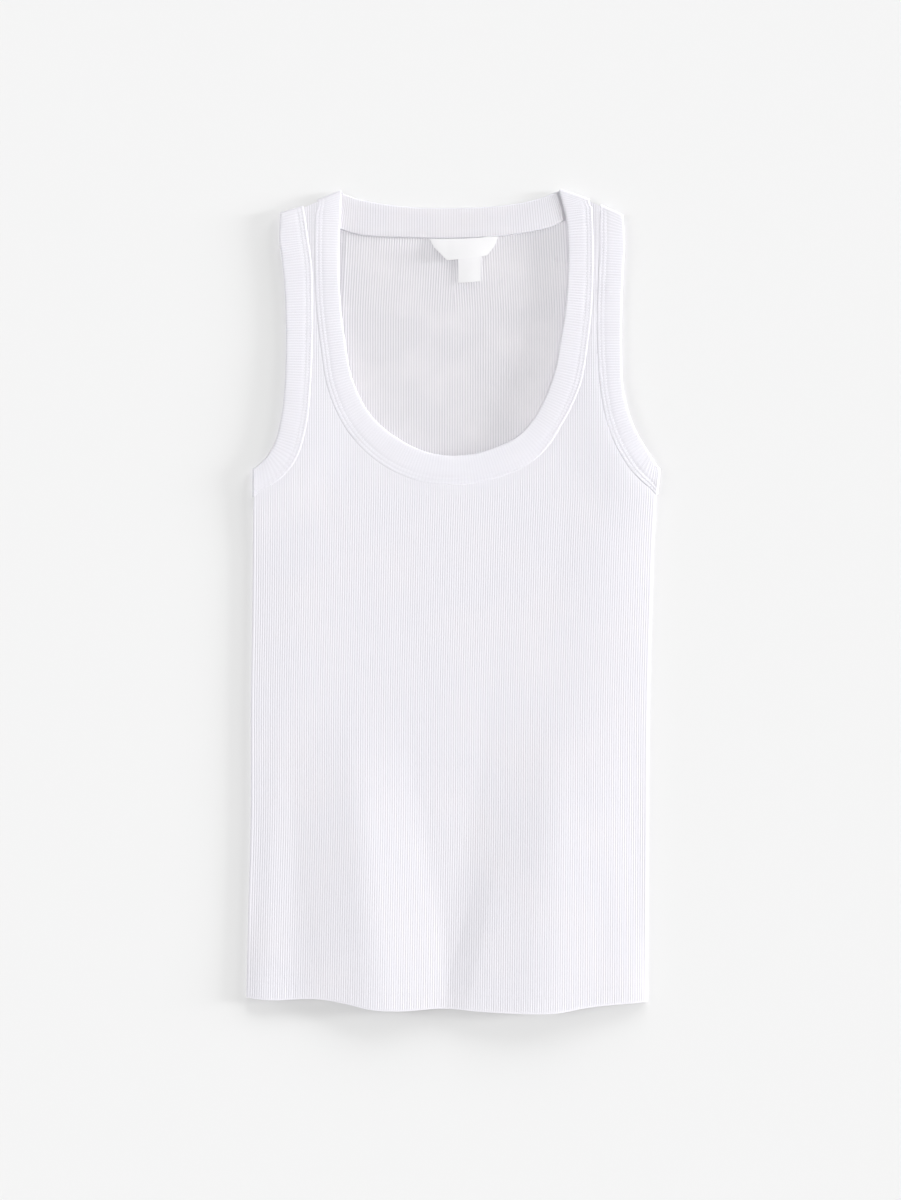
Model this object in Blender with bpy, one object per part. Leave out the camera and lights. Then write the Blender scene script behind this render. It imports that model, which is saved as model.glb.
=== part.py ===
"""Ribbed tank top with broad straps, laid flat and face up.

Sizes are in millimetres and become metres when a mesh is made. +X is to the right as one looks
at the front, +Y runs from the hem to the neck, and +Z is up from the surface it lies on. The
back lies on that surface, the front lies on the back, and each band is a ring that is folded
over at the shoulder and, on the armholes, at the side.
"""

import math
from collections import namedtuple

import bmesh
import bpy
import numpy as np
from mathutils.geometry import delaunay_2d_cdt

# --- Cloth ---------------------------------------------------------------------------------
METRES = 0.001
CLOTH = 1.0  # one layer of the ribbed jersey, without its ribs
BAND = 2.0  # a folded band, which is two layers
SEAM_GAP = 0.3  # between pieces that meet at a seam or lie on each other
RIB_HEIGHT = 0.22
BODY_RIB_COUNT = 176  # ribs across the front between its side edges
BACK_RIB_PITCH = 2.05
BAND_RIB_PITCH = 2.08
HEM_DEPTH = 18.5  # the turned-up hem, from the edge to its needle line
HEM_STEP = 0.8  # what the turned-up layer adds to the panel's thickness
HEM_FALL = 0.6  # length over which that layer ends

# --- Heights of the layers above the surface ------------------------------------------------
FRONT_LOW = CLOTH + RIB_HEIGHT + SEAM_GAP  # underside of the front where it lies on the back
OVER_BAND = BAND + SEAM_GAP  # underside of what lies on a back band
FOLD_AXIS = BAND + SEAM_GAP / 2  # height of the line that the bands fold over about
FOLD_RADIUS = BAND + SEAM_GAP / 2  # outside of that fold
FOOT = 1.3  # width of the front's edge where it turns down to the surface
FOOT_HEIGHT = 0.7
FOOT_WALL = 0.15  # run of the slope on the inner side of that foot
TURN_RADIUS = 3.0  # rounding of the front where it turns down
TURN_STEPS = (0.5, 1.5, TURN_RADIUS)  # distances from the edge where that rounding has points
BODY_PUFF = 1.5  # how far the front stands off the back between the armholes and the folds
EDGE_FALL = 20.0  # width over which the front comes down to a side edge
HEM_CLEAR = HEM_STEP - 0.2  # how far the front rises over the back's turned-up hem
LOOSE = 0.4  # least that the front stands off the back away from its edges
BODY_PUFF_BELOW = (-190.0, -60.0)  # heights between which the puff comes in, going up
BODY_PUFF_ABOVE = (60.0, 130.0)  # and heights between which it goes again
STRAP_RISE = (262.0, 288.0)  # where the front climbs onto the back part of the bands
ARM_RISE = (3.0, 26.0)  # distances from an armhole seam over which that climb falls off
HEM_FADE = 14.0  # length over which the front comes down behind the hem's needle line
NECKBAND_RISE = (240.0, 290.0)  # where the neckband's front climbs onto its back

# --- Outline, as sections from the underarm to the hem --------------------------------------
Side = namedtuple("Side", "up left right")
SIDES = (
    Side(84, -160.2, 161.8),
    Side(50, -160.4, 159.9),
    Side(0, -160.8, 158.2),
    Side(-80, -162.0, 156.0),
    Side(-176, -162.2, 155.2),
    Side(-250, -164.2, 154.8),
    Side(-334, -166.0, 154.4),
)

Hem = namedtuple("Hem", "across up")
HEM = (
    Hem(-166, -317.4),
    Hem(-154, -319.2),
    Hem(-104, -319.2),
    Hem(-86, -322.4),
    Hem(-66, -327.0),
    Hem(-46, -328.2),
    Hem(-4, -326.2),
    Hem(20, -328.4),
    Hem(50, -330.0),
    Hem(84, -329.6),
    Hem(104, -326.0),
    Hem(154.8, -321.2),
)
BACK_HEM_SHORTER = 2.0
HEM_POINTS = 40
SIDE_POINTS = 7
SIDE_LINE_POINTS = 12
HEM_LINE_POINTS = 12
SIDES_TOP = 100.0  # the side edges end below this height
STRAPS_FROM = 200.0  # and the shoulder ends lie above this one
FAR = 99.0  # a distance beyond the reach of every edge's shaping

# A band's folded edge, and its width from there to its seam, in the order in which it runs.
Band = namedtuple("Band", "across up width")
NECK_FRONT = (
    Band(-89.3, 326.0, 20.3),
    Band(-91.0, 276.0, 19.6),
    Band(-90.2, 240.0, 19.5),
    Band(-86.0, 204.0, 19.8),
    Band(-80.0, 174.4, 20.8),
    Band(-66.0, 148.0, 22.4),
    Band(-42.8, 128.2, 24.2),
    Band(-18.0, 117.4, 23.6),
    Band(4.0, 115.4, 22.6),
    Band(29.0, 120.4, 23.2),
    Band(53.2, 132.8, 22.8),
    Band(69.2, 154.0, 21.6),
    Band(78.6, 176.4, 22.6),
    Band(85.4, 209.0, 21.8),
    Band(90.2, 246.0, 20.6),
    Band(91.4, 276.0, 20.0),
    Band(90.0, 304.0, 20.8),
    Band(84.4, 327.0, 25.0),
)
ARMHOLE_LEFT = (
    Band(-138.6, 308.0, 19.2),
    Band(-139.4, 288.0, 22.8),
    Band(-136.8, 268.0, 23.0),
    Band(-134.6, 240.0, 21.8),
    Band(-134.0, 208.0, 21.0),
    Band(-134.8, 176.0, 20.6),
    Band(-138.2, 144.0, 20.8),
    Band(-144.6, 122.0, 20.8),
    Band(-152.4, 111.2, 21.0),
    Band(-159.0, 105.4, 22.6),
)
ARMHOLE_RIGHT = (
    Band(135.5, 305.9, 20.3),
    Band(136.9, 288.0, 20.0),
    Band(135.6, 262.0, 19.6),
    Band(134.6, 232.0, 19.6),
    Band(134.5, 196.0, 19.0),
    Band(135.6, 170.0, 18.0),
    Band(139.6, 152.0, 18.8),
    Band(146.8, 133.6, 19.6),
    Band(154.8, 120.0, 20.2),
    Band(163.8, 105.8, 21.6),
)
BAND_TURN = 26.0  # length over which a band's sections turn to the line that it folds over about

# The line that a band folds over about, from its folded edge to its seam, in plan.
SHOULDER_LEFT = (-0.926, -0.378)
SHOULDER_RIGHT = (0.947, -0.322)
SHOULDER_LEFT_ARM = (0.963, 0.270)
SHOULDER_RIGHT_ARM = (-0.906, 0.424)
UNDERARM_LEFT = (0.0, -1.0)
UNDERARM_RIGHT = (-0.107, -0.994)
HIDDEN_EDGE_INSET = 0.6  # how far the under layer of an armhole band hides behind the upper one

# The neckband's back part, from the right shoulder to the left one.
Across = namedtuple("Across", "edge_across edge_up seam_across seam_up")
NECK_BACK = (
    Across(83.6, 326.6, 104.6, 309.4),
    Across(81.4, 326.0, 91.0, 304.6),
    Across(72.6, 322.4, 76.0, 298.4),
    Across(57.0, 318.2, 59.0, 294.4),
    Across(36.0, 315.2, 36.6, 291.4),
    Across(0.0, 313.6, 0.0, 289.7),
    Across(-36.0, 314.4, -36.0, 290.2),
    Across(-58.0, 317.0, -58.4, 290.8),
    Across(-76.0, 320.6, -77.0, 292.8),
    Across(-86.0, 324.0, -90.4, 297.0),
    Across(-88.0, 325.0, -100.6, 302.6),
    Across(-88.8, 325.5, -106.6, 310.0),
)

# Shoulder ends of the front panel, as the outline shows them: inner and outer corner.
STRAP_LEFT = ((-108.4, 320.0), (-120.6, 315.4))
STRAP_RIGHT = ((109.4, 320.6), (117.4, 317.0))

# --- Folds of the front ---------------------------------------------------------------------
# Each ridge runs from the hem to where it dies away, and falls off to either side.
Fold = namedtuple("Fold", "hem_across top_across top_up height reach_left reach_right")
FOLDS = (
    Fold(-150, -142, -100, 1.3, 13, 25),
    Fold(-67, -82, -90, 2.6, 62, 64),
    Fold(63, 88, -90, 2.8, 66, 62),
    Fold(142, 144, -96, 1.3, 16, 13),
)
HEM_LEVEL = -330.0

# --- Where the panels have points along their ribs -------------------------------------------
BODY_ROWS = (-250.0, -170.0, -95.0, 60.0)
BACK_NECK_ROWS = (250.0, 205.0, 160.0)
BACK_NECK_TOP = 300.0
NECK_REACH = 6.0  # how far the ribs of the back's inside run on under the neckband
NECK_HALF_RIBS = 92  # crests and hollows of those ribs to either side of the middle
RIB_LEAN = 0.05  # lean of those ribs towards the middle, above the height where it starts
LEAN_FROM = 230.0
ABOVE_STRAPS = 340.0  # a height above the whole garment
RIB_STANDS_IN = 1.2  # where the outermost rib line lies, inside the rounding of the side edge
PAST_EDGE = 4.0  # how far lines run on past the outline
UNDER_SPACING = 13.0
UNDER_PLACES = 0.95  # outermost lines of the front's underside, as a share of its half width
BODY_HALF_WIDTH = 150.0
RIBS_PER_SECTION = 3
FINE_STEPS = 600  # steps in which a band's curve is measured
FOLD_STEPS = 4

# --- Neck label and size tab ----------------------------------------------------------------
LABEL_THICK = 1.0
LABEL_EDGE_LIFT = 0.15  # lift of the sewn edge, as a share of the free edge's
Plate = namedtuple("Plate", "across low_edge high_edge lift")
LABEL = (
    Plate(-18.8, 288.4, 289.3, 0.0),
    Plate(-15.6, 282.0, 289.3, 0.5),
    Plate(-5.2, 271.4, 289.3, 1.8),
    Plate(8.0, 272.6, 289.3, 2.6),
    Plate(22.0, 274.4, 290.2, 2.2),
    Plate(27.0, 275.4, 290.4, 1.6),
    Plate(32.8, 283.0, 290.7, 0.5),
    Plate(35.4, 289.6, 290.8, 0.0),
)
TAB = (
    Plate(3.8, 253.6, 274.6, 0.0),
    Plate(12.6, 254.0, 275.2, 0.3),
    Plate(21.8, 255.0, 275.8, 0.0),
)

# --- Colours --------------------------------------------------------------------------------
CLOTH_COLOUR = (0.855, 0.845, 0.885, 1.0)
BAND_COLOUR = (0.875, 0.865, 0.905, 1.0)
LABEL_COLOUR = (0.90, 0.90, 0.92, 1.0)
CLOTH_ROUGHNESS = 0.92
LABEL_ROUGHNESS = 0.6


# --- Curves ---------------------------------------------------------------------------------
def smooth(knots, values, at):
    """Values given at rising knots, read at other places on a curve without kinks."""
    knots, values, at = (np.asarray(v, float) for v in (knots, values, at))
    slopes = np.gradient(values, knots, axis=0)
    i = np.clip(np.searchsorted(knots, at, side="right") - 1, 0, len(knots) - 2)
    span = knots[i + 1] - knots[i]
    t = (at - knots[i]) / span
    if values.ndim > 1:
        span, t = span[..., None], t[..., None]
    start = (1 + 2 * t) * (1 - t) ** 2 * values[i] + t * (1 - t) ** 2 * span * slopes[i]
    end = t * t * (3 - 2 * t) * values[i + 1] - t * t * (1 - t) * span * slopes[i + 1]
    return start + end


def ramp(value, low, high):
    """0 below low, 1 above high, and an eased rise between them."""
    t = np.clip((value - low) / (high - low), 0, 1)
    return t * t * (3 - 2 * t)


def lengths(points):
    """Distance along a run of points, from its start."""
    return np.r_[0, np.cumsum(np.linalg.norm(np.diff(points, axis=0), axis=1))]


def unit(vectors):
    return vectors / np.linalg.norm(vectors, axis=-1, keepdims=True)


def side_at(up):
    """Left and right edge of the body at a height."""
    rows = sorted(SIDES)
    knots = [row.up for row in rows]
    within = np.clip(up, knots[0], knots[-1])
    left = smooth(knots, [row.left for row in rows], within)
    return left, smooth(knots, [row.right for row in rows], within)


def hem_at(across):
    knots = [row.across for row in HEM]
    return smooth(knots, [row.up for row in HEM], np.clip(across, knots[0], knots[-1]))


# --- Bands ----------------------------------------------------------------------------------
def band_path(rows, start_line, end_line, body_side):
    """Folded edge and seam of a band, section by section, in plan.

    start_line and end_line are the directions across the band at its two folds, and body_side
    is 1 where the garment's body lies to the right of the band as it runs, else -1.
    """
    knots = lengths(np.array([(row.across, row.up) for row in rows]))
    fine = smooth(knots, rows, np.linspace(0, knots[-1], FINE_STEPS))
    run = lengths(fine[:, :2])
    count = round(run[-1] / (RIBS_PER_SECTION * BAND_RIB_PITCH))
    at = np.linspace(0, run[-1], count + 1)
    edge = np.stack([np.interp(at, run, column) for column in fine[:, :2].T], axis=1)
    width = np.interp(at, run, fine[:, 2])[:, None]
    tangent = unit(np.gradient(edge, axis=0))
    across = np.c_[tangent[:, 1], -tangent[:, 0]] * body_side
    near_start = 1 - ramp(at[:, None], 0, BAND_TURN)
    near_end = ramp(at[:, None], run[-1] - BAND_TURN, run[-1])
    across = across * (1 - near_start) + np.array(start_line) * near_start
    across = across * (1 - near_end) + np.array(end_line) * near_end
    return edge, edge + unit(across) * width


def clear_of(edge, seam, gap=SEAM_GAP):
    """The panel's own edge, a gap away from a band's seam."""
    return seam + unit(seam - edge) * gap


# One section of a band: where it starts, its directions across the band and out of its right
# side, its width, how far the needle line and the roll are raised, and its ribs up to the next.
Section = namedtuple("Section", "origin across out width raised outer_ribs inner_ribs")

# A corner of that section: its distance from the folded edge or from the seam, its height over
# the inner face, and what the needle line and the roll change there.
Corner = namedtuple("Corner", "from_edge from_seam height relief")
INNER_EDGE = Corner(0.7, None, 0.0, 0.0)
INNER_SEAM = Corner(None, 0.0, 0.0, 0.0)
SEAM_WALL = Corner(None, 0.0, BAND - 0.4, 0.1)
ROLL = Corner(None, 1.1, BAND, 0.35)
NEEDLE_LINE = Corner(None, 2.3, BAND, -0.3)
OUTER_SEAM = Corner(None, 3.2, BAND, 0.0)
OUTER_EDGE = Corner(1.0, None, BAND, 0.0)
FOLDED_EDGE = Corner(0.0, None, BAND / 2, 0.0)
BAND_CORNERS = (
    INNER_EDGE,
    INNER_SEAM,
    SEAM_WALL,
    ROLL,
    NEEDLE_LINE,
    OUTER_SEAM,
    OUTER_EDGE,
    FOLDED_EDGE,
)


def corner_place(section, corner):
    along = corner.from_edge if corner.from_seam is None else section.width - corner.from_seam
    height = corner.height + corner.relief * section.raised
    return section.origin + section.across * along + section.out * height


def ribs_from(section, corner):
    """How many ribs a corner's line carries from this section to the next, and which way up."""
    if corner in (OUTER_SEAM, OUTER_EDGE):
        return section.outer_ribs, 1.0
    if corner in (INNER_EDGE, INNER_SEAM):
        return section.inner_ribs, -1.0
    return 0, 1.0


def flat_sections(edge, seam, low, facing, outer_ribs=0, inner_ribs=0):
    """Sections that lie flat. facing is 1 with the right side up, and -1 with it down."""
    sections = []
    for start, end, height in zip(edge, seam, low):
        across = np.append(end - start, 0.0)
        sections.append(
            Section(
                np.append(start, height),
                unit(across),
                np.array((0.0, 0.0, facing)),
                np.linalg.norm(across),
                float(facing > 0),
                outer_ribs,
                inner_ribs,
            )
        )
    return sections


def folded_sections(edge, seam, outward, facing):
    """Sections round a fold, between the layer above and the layer below it."""
    sections = []
    across = np.append(seam - edge, 0.0)
    width = np.linalg.norm(across)
    across = unit(across)
    away = np.append(outward, 0.0)
    away = unit(away - across * np.dot(away, across))
    for step in range(1, FOLD_STEPS):
        angle = math.pi * step / FOLD_STEPS
        out = np.array((0.0, 0.0, facing * math.cos(angle))) + away * math.sin(angle)
        origin = np.append(edge, FOLD_AXIS) + out * (FOLD_RADIUS - BAND)
        raised = 0.5 + 0.5 * facing * math.cos(angle)
        sections.append(Section(origin, across, out, width, raised, 0, 0))
    return sections


def rib_marks(section, corner):
    """(share of the way to the next section, height) of each point that a line has there."""
    ribs, way = ribs_from(section, corner)
    if not ribs:
        return [(0.0, 0.0)]
    steps = np.arange(2 * ribs) / (2 * ribs)
    return [(step, way * RIB_HEIGHT * (i % 2)) for i, step in enumerate(steps)]


def band_lines(sections):
    """Each corner's line round the ring, as (place along the ring, point) pairs."""
    lines = []
    for corner in BAND_CORNERS:
        line = []
        for i, section in enumerate(sections):
            following = sections[(i + 1) % len(sections)]
            here, there = corner_place(section, corner), corner_place(following, corner)
            for share, height in rib_marks(section, corner):
                line.append((i + share, here + (there - here) * share + section.out * height))
        lines.append(line)
    return lines


def stitched(first, second, length):
    """Triangles between two closed lines of (place, vertex), whose places rise to length."""
    faces = []
    i = j = 0
    while i < len(first) or j < len(second):
        a = [first[k % len(first)][0] + length * (k // len(first)) for k in (i, i + 1)]
        b = [second[k % len(second)][0] + length * (k // len(second)) for k in (j, j + 1)]
        corner_a, corner_b = first[i % len(first)][1], second[j % len(second)][1]
        if j == len(second) or (i < len(first) and sum(a) <= sum(b)):
            i += 1
            faces.append((corner_a, first[i % len(first)][1], corner_b))
        else:
            j += 1
            faces.append((corner_a, second[j % len(second)][1], corner_b))
    return faces


def make_ring(name, sections, material):
    """A closed ring through its sections, each line stitched to the next."""
    vertices, lines = [], []
    for line in band_lines(sections):
        lines.append([(place, len(vertices) + i) for i, (place, _) in enumerate(line)])
        vertices += [point for _, point in line]
    faces = []
    for line, following in zip(lines, lines[1:] + lines[:1]):
        faces += stitched(line, following, len(sections))
    return make_object(name, vertices, faces, material)


# --- Panels ---------------------------------------------------------------------------------
def inside(points, outline):
    """Whether each point lies within a closed outline."""
    across, up = points.T
    crossings = np.zeros(len(points), int)
    for (x0, y0), (x1, y1) in zip(outline, np.roll(outline, -1, axis=0)):
        spans = (y0 > up) != (y1 > up)
        with np.errstate(divide="ignore", invalid="ignore"):
            crossings += spans & (across < x0 + (up - y0) * (x1 - x0) / (y1 - y0))
    return crossings % 2 == 1


def triangles_over(outline, lines):
    """Triangles that fill an outline and keep its lines as edges, and its rim as a loop.

    Returns the points, the triangles, and for each side of the outline the run of points on it.
    """
    points = [tuple(point) for point in outline]
    edges = []
    for line in lines:
        edges += [(len(points) + i, len(points) + i + 1) for i in range(len(line) - 1)]
        points += [tuple(point) for point in line]
    made = delaunay_2d_cdt(points, edges, [list(range(len(outline)))], 0, 1e-3)
    places, origins = np.array([tuple(point) for point in made[0]]), made[3]
    middles = places[np.array(made[2])].mean(axis=1)
    faces = [face for face, kept in zip(made[2], inside(middles, outline)) if kept]
    follows, shared = {}, set()
    for face in faces:
        for a, b in zip(face, face[1:] + face[:1]):
            shared.add((a, b))
    for a, b in shared:
        if (b, a) not in shared:
            follows[a] = b
    corner_of = {}
    for vertex, sources in enumerate(origins):
        for source in sources:
            if source < len(outline):
                corner_of[vertex] = source
    start = next(vertex for vertex, source in corner_of.items() if source == 0)
    runs, run, vertex = [], [start], follows[start]
    while True:
        run.append(vertex)
        if vertex in corner_of:
            runs.append(run)
            run = [vertex]
        if vertex == start:
            break
        vertex = follows[vertex]
    return places, faces, runs


def wall_between(upper, lower, places, places_below, offset):
    """Triangles of the wall along one side of the outline, where it has more points above."""
    faces = []
    i = j = 0
    start = places[upper[0]]
    far_above = [np.linalg.norm(places[v] - start) for v in upper]
    far_below = [np.linalg.norm(places_below[v] - start) for v in lower]
    while i < len(upper) - 1 or j < len(lower) - 1:
        step_above = i < len(upper) - 1 and (
            j == len(lower) - 1 or far_above[i] + far_above[i + 1] <= far_below[j] + far_below[j + 1]
        )
        if step_above:
            faces.append((upper[i + 1], upper[i], lower[j] + offset))
            i += 1
        else:
            faces.append((upper[i], lower[j] + offset, lower[j + 1] + offset))
            j += 1
    return faces


def make_panel(name, outline, upper_lines, lower_lines, upper, lower, material):
    """A wall of cloth between an upper and a lower height over one outline."""
    places, faces, runs = triangles_over(outline, upper_lines)
    below, faces_below, runs_below = triangles_over(outline, lower_lines)
    vertices = [(x, y, z) for (x, y), z in zip(places, upper(*places.T))]
    vertices += [(x, y, z) for (x, y), z in zip(below, lower(*below.T))]
    offset = len(places)
    faces = [tuple(face) for face in faces]
    faces += [tuple(vertex + offset for vertex in reversed(face)) for face in faces_below]
    for run, run_below in zip(runs, runs_below):
        faces += wall_between(run, run_below, places, below, offset)
    return make_object(name, vertices, faces, material)


def rib_across(place, up):
    """Where a rib at a place from -1, the left edge, to 1, the right edge, runs at a height."""
    left, right = side_at(np.minimum(up, SIDES[0].up))
    return (left + right) / 2 + place * (right - left) / 2


def body_place(across, up):
    """The reverse of rib_across."""
    left, right = side_at(np.minimum(up, SIDES[0].up))
    return (across - (left + right) / 2) / ((right - left) / 2)


def cut_where(line, value, limit):
    """A line up to where a value that falls along it passes the limit."""
    keep = int(np.argmax(value < limit)) if (value < limit).any() else len(line)
    if keep == len(line):
        return line
    share = (value[keep - 1] - limit) / (value[keep - 1] - value[keep])
    return np.vstack([line[:keep], line[keep - 1] + (line[keep] - line[keep - 1]) * share])


def body_outline(paths, neck, edge_inset, hem_shorter):
    """Outline of a panel: hem, right side, armhole, shoulder, neck, shoulder, armhole, left side.

    edge_inset is how far the side edges and shoulder ends lie inside the garment's outline.
    """
    hem_corner_left = side_at(HEM[0].up)[0] + edge_inset
    hem_corner_right = side_at(HEM[-1].up)[1] - edge_inset
    hem_across = np.linspace(hem_corner_left, hem_corner_right, HEM_POINTS)
    hem = np.c_[hem_across, hem_at(hem_across) + hem_shorter]
    right_arm, left_arm = clear_of(*paths["right"]), clear_of(*paths["left"])
    left, right = side_at(left_arm[-1, 1]), side_at(right_arm[-1, 1])
    right_arm = cut_where(right_arm, right[1] - right_arm[:, 0], edge_inset)[::-1]
    left_arm = cut_where(left_arm, left_arm[:, 0] - left[0], edge_inset)
    up_right = np.linspace(hem[-1, 1], right_arm[0, 1], SIDE_POINTS + 2)[1:-1]
    up_left = np.linspace(left_arm[-1, 1], hem[0, 1], SIDE_POINTS + 2)[1:-1]
    right_side = np.c_[side_at(up_right)[1] - edge_inset, up_right]
    left_side = np.c_[side_at(up_left)[0] + edge_inset, up_left]
    arms = {}
    for strap, arm in ((STRAP_RIGHT, right_arm[::-1]), (STRAP_LEFT, left_arm)):
        away = from_strap_end(strap, arm) - edge_inset
        arms[strap] = cut_where(arm[::-1], away[::-1], 0.0)[::-1]
    half = len(neck) // 2
    ends = [from_strap_end(strap, neck) - edge_inset for strap in (STRAP_RIGHT, STRAP_LEFT)]
    right_neck = cut_where(neck[:half][::-1], ends[0][:half][::-1], 0.0)[::-1]
    left_neck = cut_where(neck[half:], ends[1][half:], 0.0)
    return np.vstack(
        [
            hem,
            right_side,
            arms[STRAP_RIGHT][::-1],
            right_neck,
            left_neck,
            arms[STRAP_LEFT],
            left_side,
        ]
    )


def from_strap_end(strap, points):
    """Distance of points from a strap's end, down into the garment."""
    inner, outer = np.array(strap)
    along = unit(outer - inner)
    normal = np.array((along[1], -along[0]))
    normal = normal if normal[1] < 0 else -normal
    return (points - inner) @ normal


def shoulder_end(strap, inset):
    """The two corners of a strap's end, moved in from the outline."""
    inner, outer = np.array(strap)
    along = unit(outer - inner)
    inward = np.array((along[1], -along[0]))
    inward = inward if inward[1] < 0 else -inward
    return np.array((inner, outer)) + inward * inset


def from_turned_edge(across, up):
    """Distance to the nearest edge where the front turns down: the sides and the shoulders."""
    left, right = side_at(up)
    body = np.minimum(across - left, right - across)
    distance = np.where(up < SIDES_TOP, body, FAR)
    for strap in (STRAP_LEFT, STRAP_RIGHT):
        away = from_strap_end(strap, np.c_[across, up])
        near = (up > STRAPS_FROM) & (np.sign(across) == np.sign(strap[0][0]))
        distance = np.where(near, np.minimum(distance, away), distance)
    return np.maximum(distance, 0.0)


def fold_lift(across, up):
    """How far the ridges raise the front off the back."""
    total = np.zeros_like(across)
    for fold in FOLDS:
        share = np.clip((fold.top_up - up) / (fold.top_up - HEM_LEVEL), 0, 1)
        crest = fold.top_across + (fold.hem_across - fold.top_across) * share
        reach = np.where(across < crest, fold.reach_left, fold.reach_right)
        swell = 0.5 + 0.5 * np.cos(np.pi * np.clip((across - crest) / reach, -1, 1))
        total += fold.height * swell * ramp(share, 0, 1)
    return total


def under_front(across, up, arm_seams):
    """Height of the front's underside, away from its turned edges."""
    distance = from_turned_edge(across, up)
    near_side = ramp(distance, FOOT, EDGE_FALL)
    torso = ramp(up, *BODY_PUFF_BELOW) * (1 - ramp(up, *BODY_PUFF_ABOVE))
    lift = near_side * (BODY_PUFF * torso + LOOSE + fold_lift(across, up))
    lift += (OVER_BAND - FRONT_LOW) * ramp(up, *STRAP_RISE)
    to_arm = np.full_like(across, FAR)
    for seam in arm_seams:
        for point in seam[::2]:
            to_arm = np.minimum(to_arm, np.hypot(across - point[0], up - point[1]))
    lift = np.maximum(lift, (OVER_BAND - FRONT_LOW) * (1 - ramp(to_arm, *ARM_RISE)))
    in_hem = 1 - ramp(up - hem_at(across), HEM_DEPTH, HEM_DEPTH + HEM_FADE)
    return FRONT_LOW + lift + HEM_CLEAR * in_hem


def rib_relief(across, up):
    """Height of the front's ribs, which run from the hem to the neck and the shoulders."""
    phase = body_place(across, up) * BODY_RIB_COUNT / 2
    inside = ramp(from_turned_edge(across, up), TURN_RADIUS, TURN_RADIUS + 1)
    return RIB_HEIGHT * (0.5 + 0.5 * np.cos(2 * np.pi * phase)) * inside


def hem_relief(across, up):
    """The turned-up hem's extra layer, which ends at the needle line."""
    return HEM_STEP * (1 - ramp(up - hem_at(across), HEM_DEPTH - HEM_FALL, HEM_DEPTH))


def side_lines(inset):
    """Lines along both sides of the body, a distance inside its edges."""
    up = np.linspace(HEM_LEVEL - PAST_EDGE, SIDES_TOP + PAST_EDGE, SIDE_LINE_POINTS)
    left, right = side_at(up)
    return [np.c_[left + inset, up], np.c_[right - inset, up]]


def strap_lines(inset):
    """Lines across both strap ends, a distance inside them, run past the strap's edges."""
    lines = []
    for strap in (STRAP_LEFT, STRAP_RIGHT):
        inner, outer = shoulder_end(strap, inset)
        along = unit(outer - inner)
        lines.append(np.array((inner - along * PAST_EDGE, outer + along * PAST_EDGE)))
    return lines


def front_rib_lines():
    """A line along each crest and each hollow of the front's ribs."""
    left, right = side_at(0.0)
    widest = 1 - 2 * (TURN_RADIUS + RIB_STANDS_IN) / (right - left)
    most = int(widest * BODY_RIB_COUNT)
    return [
        panel_line(half_rib / BODY_RIB_COUNT, (-PAST_EDGE, HEM_DEPTH - HEM_FALL, HEM_DEPTH))
        for half_rib in range(-most, most + 1)
    ]


def panel_line(place, hem_steps):
    """A line from below the hem to above the straps, with points at steps up from the hem."""
    hem = float(hem_at(rib_across(place, HEM_LEVEL)))
    ups = np.array([*(hem + step for step in hem_steps), *BODY_ROWS, ABOVE_STRAPS])
    return np.c_[rib_across(place, ups), ups]


def front_panel(paths, material):
    arm_seams = [paths["left"][1], paths["right"][1]]

    def lower(across, up):
        low = under_front(across, up, arm_seams)
        return np.where(from_turned_edge(across, up) < FOOT + FOOT_WALL / 2, 0.0, low)

    def upper(across, up):
        full = under_front(across, up, arm_seams) + CLOTH + hem_relief(across, up)
        near = 1 - np.clip(from_turned_edge(across, up) / TURN_RADIUS, 0, 1)
        rounded = 1 - np.sqrt(np.maximum(1 - near * near, 0))
        return full - (full - FOOT_HEIGHT) * rounded + rib_relief(across, up)

    turned = [line for inset in TURN_STEPS for line in side_lines(inset) + strap_lines(inset)]
    foot_steps = (FOOT, FOOT + FOOT_WALL)
    under = [line for inset in foot_steps for line in side_lines(inset) + strap_lines(inset)]
    for place in np.linspace(-UNDER_PLACES, UNDER_PLACES, int(2 * BODY_HALF_WIDTH / UNDER_SPACING)):
        under.append(panel_line(place, (-PAST_EDGE, HEM_DEPTH, HEM_DEPTH + HEM_FADE)))
    outline = body_outline(paths, clear_of(*paths["neck"])[::-1], 0.0, 0.0)
    return make_panel(
        "front_panel", outline, front_rib_lines() + turned, under, upper, lower, material
    )


def back_panel(paths, material):
    inset = FOOT + FOOT_WALL + SEAM_GAP
    neck = clear_of(*paths["back_neck"])
    outline = body_outline(paths, neck, inset, BACK_HEM_SHORTER)

    def shown(across, up):
        """1 where the back's inside shows in the neck opening."""
        front_edge = paths["neck"][0]
        beside = 2 * ABOVE_STRAPS
        low = np.interp(across, front_edge[:, 0], front_edge[:, 1], left=beside, right=beside)
        return up > low - NECK_REACH

    def upper(across, up):
        phase = (across + lean_at(across, up)) / BACK_RIB_PITCH
        ribs = RIB_HEIGHT * (0.5 + 0.5 * np.cos(2 * np.pi * phase)) * shown(across, up)
        return CLOTH + ribs + hem_relief(across, up - BACK_HEM_SHORTER)

    def lower(across, up):
        return np.zeros_like(across)

    lines = back_rib_lines(paths["neck"][0])
    hem_across = np.linspace(HEM[0].across - PAST_EDGE, HEM[-1].across + PAST_EDGE, HEM_LINE_POINTS)
    for step in (HEM_DEPTH - HEM_FALL, HEM_DEPTH):
        lines.append(np.c_[hem_across, hem_at(hem_across) + BACK_HEM_SHORTER + step])
    return make_panel("back_panel", outline, lines, [], upper, lower, material)


def lean_at(across, up):
    """How far a rib of the back's inside has leant towards the middle at a height."""
    return np.sign(across) * RIB_LEAN * np.maximum(up - LEAN_FROM, 0)


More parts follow.
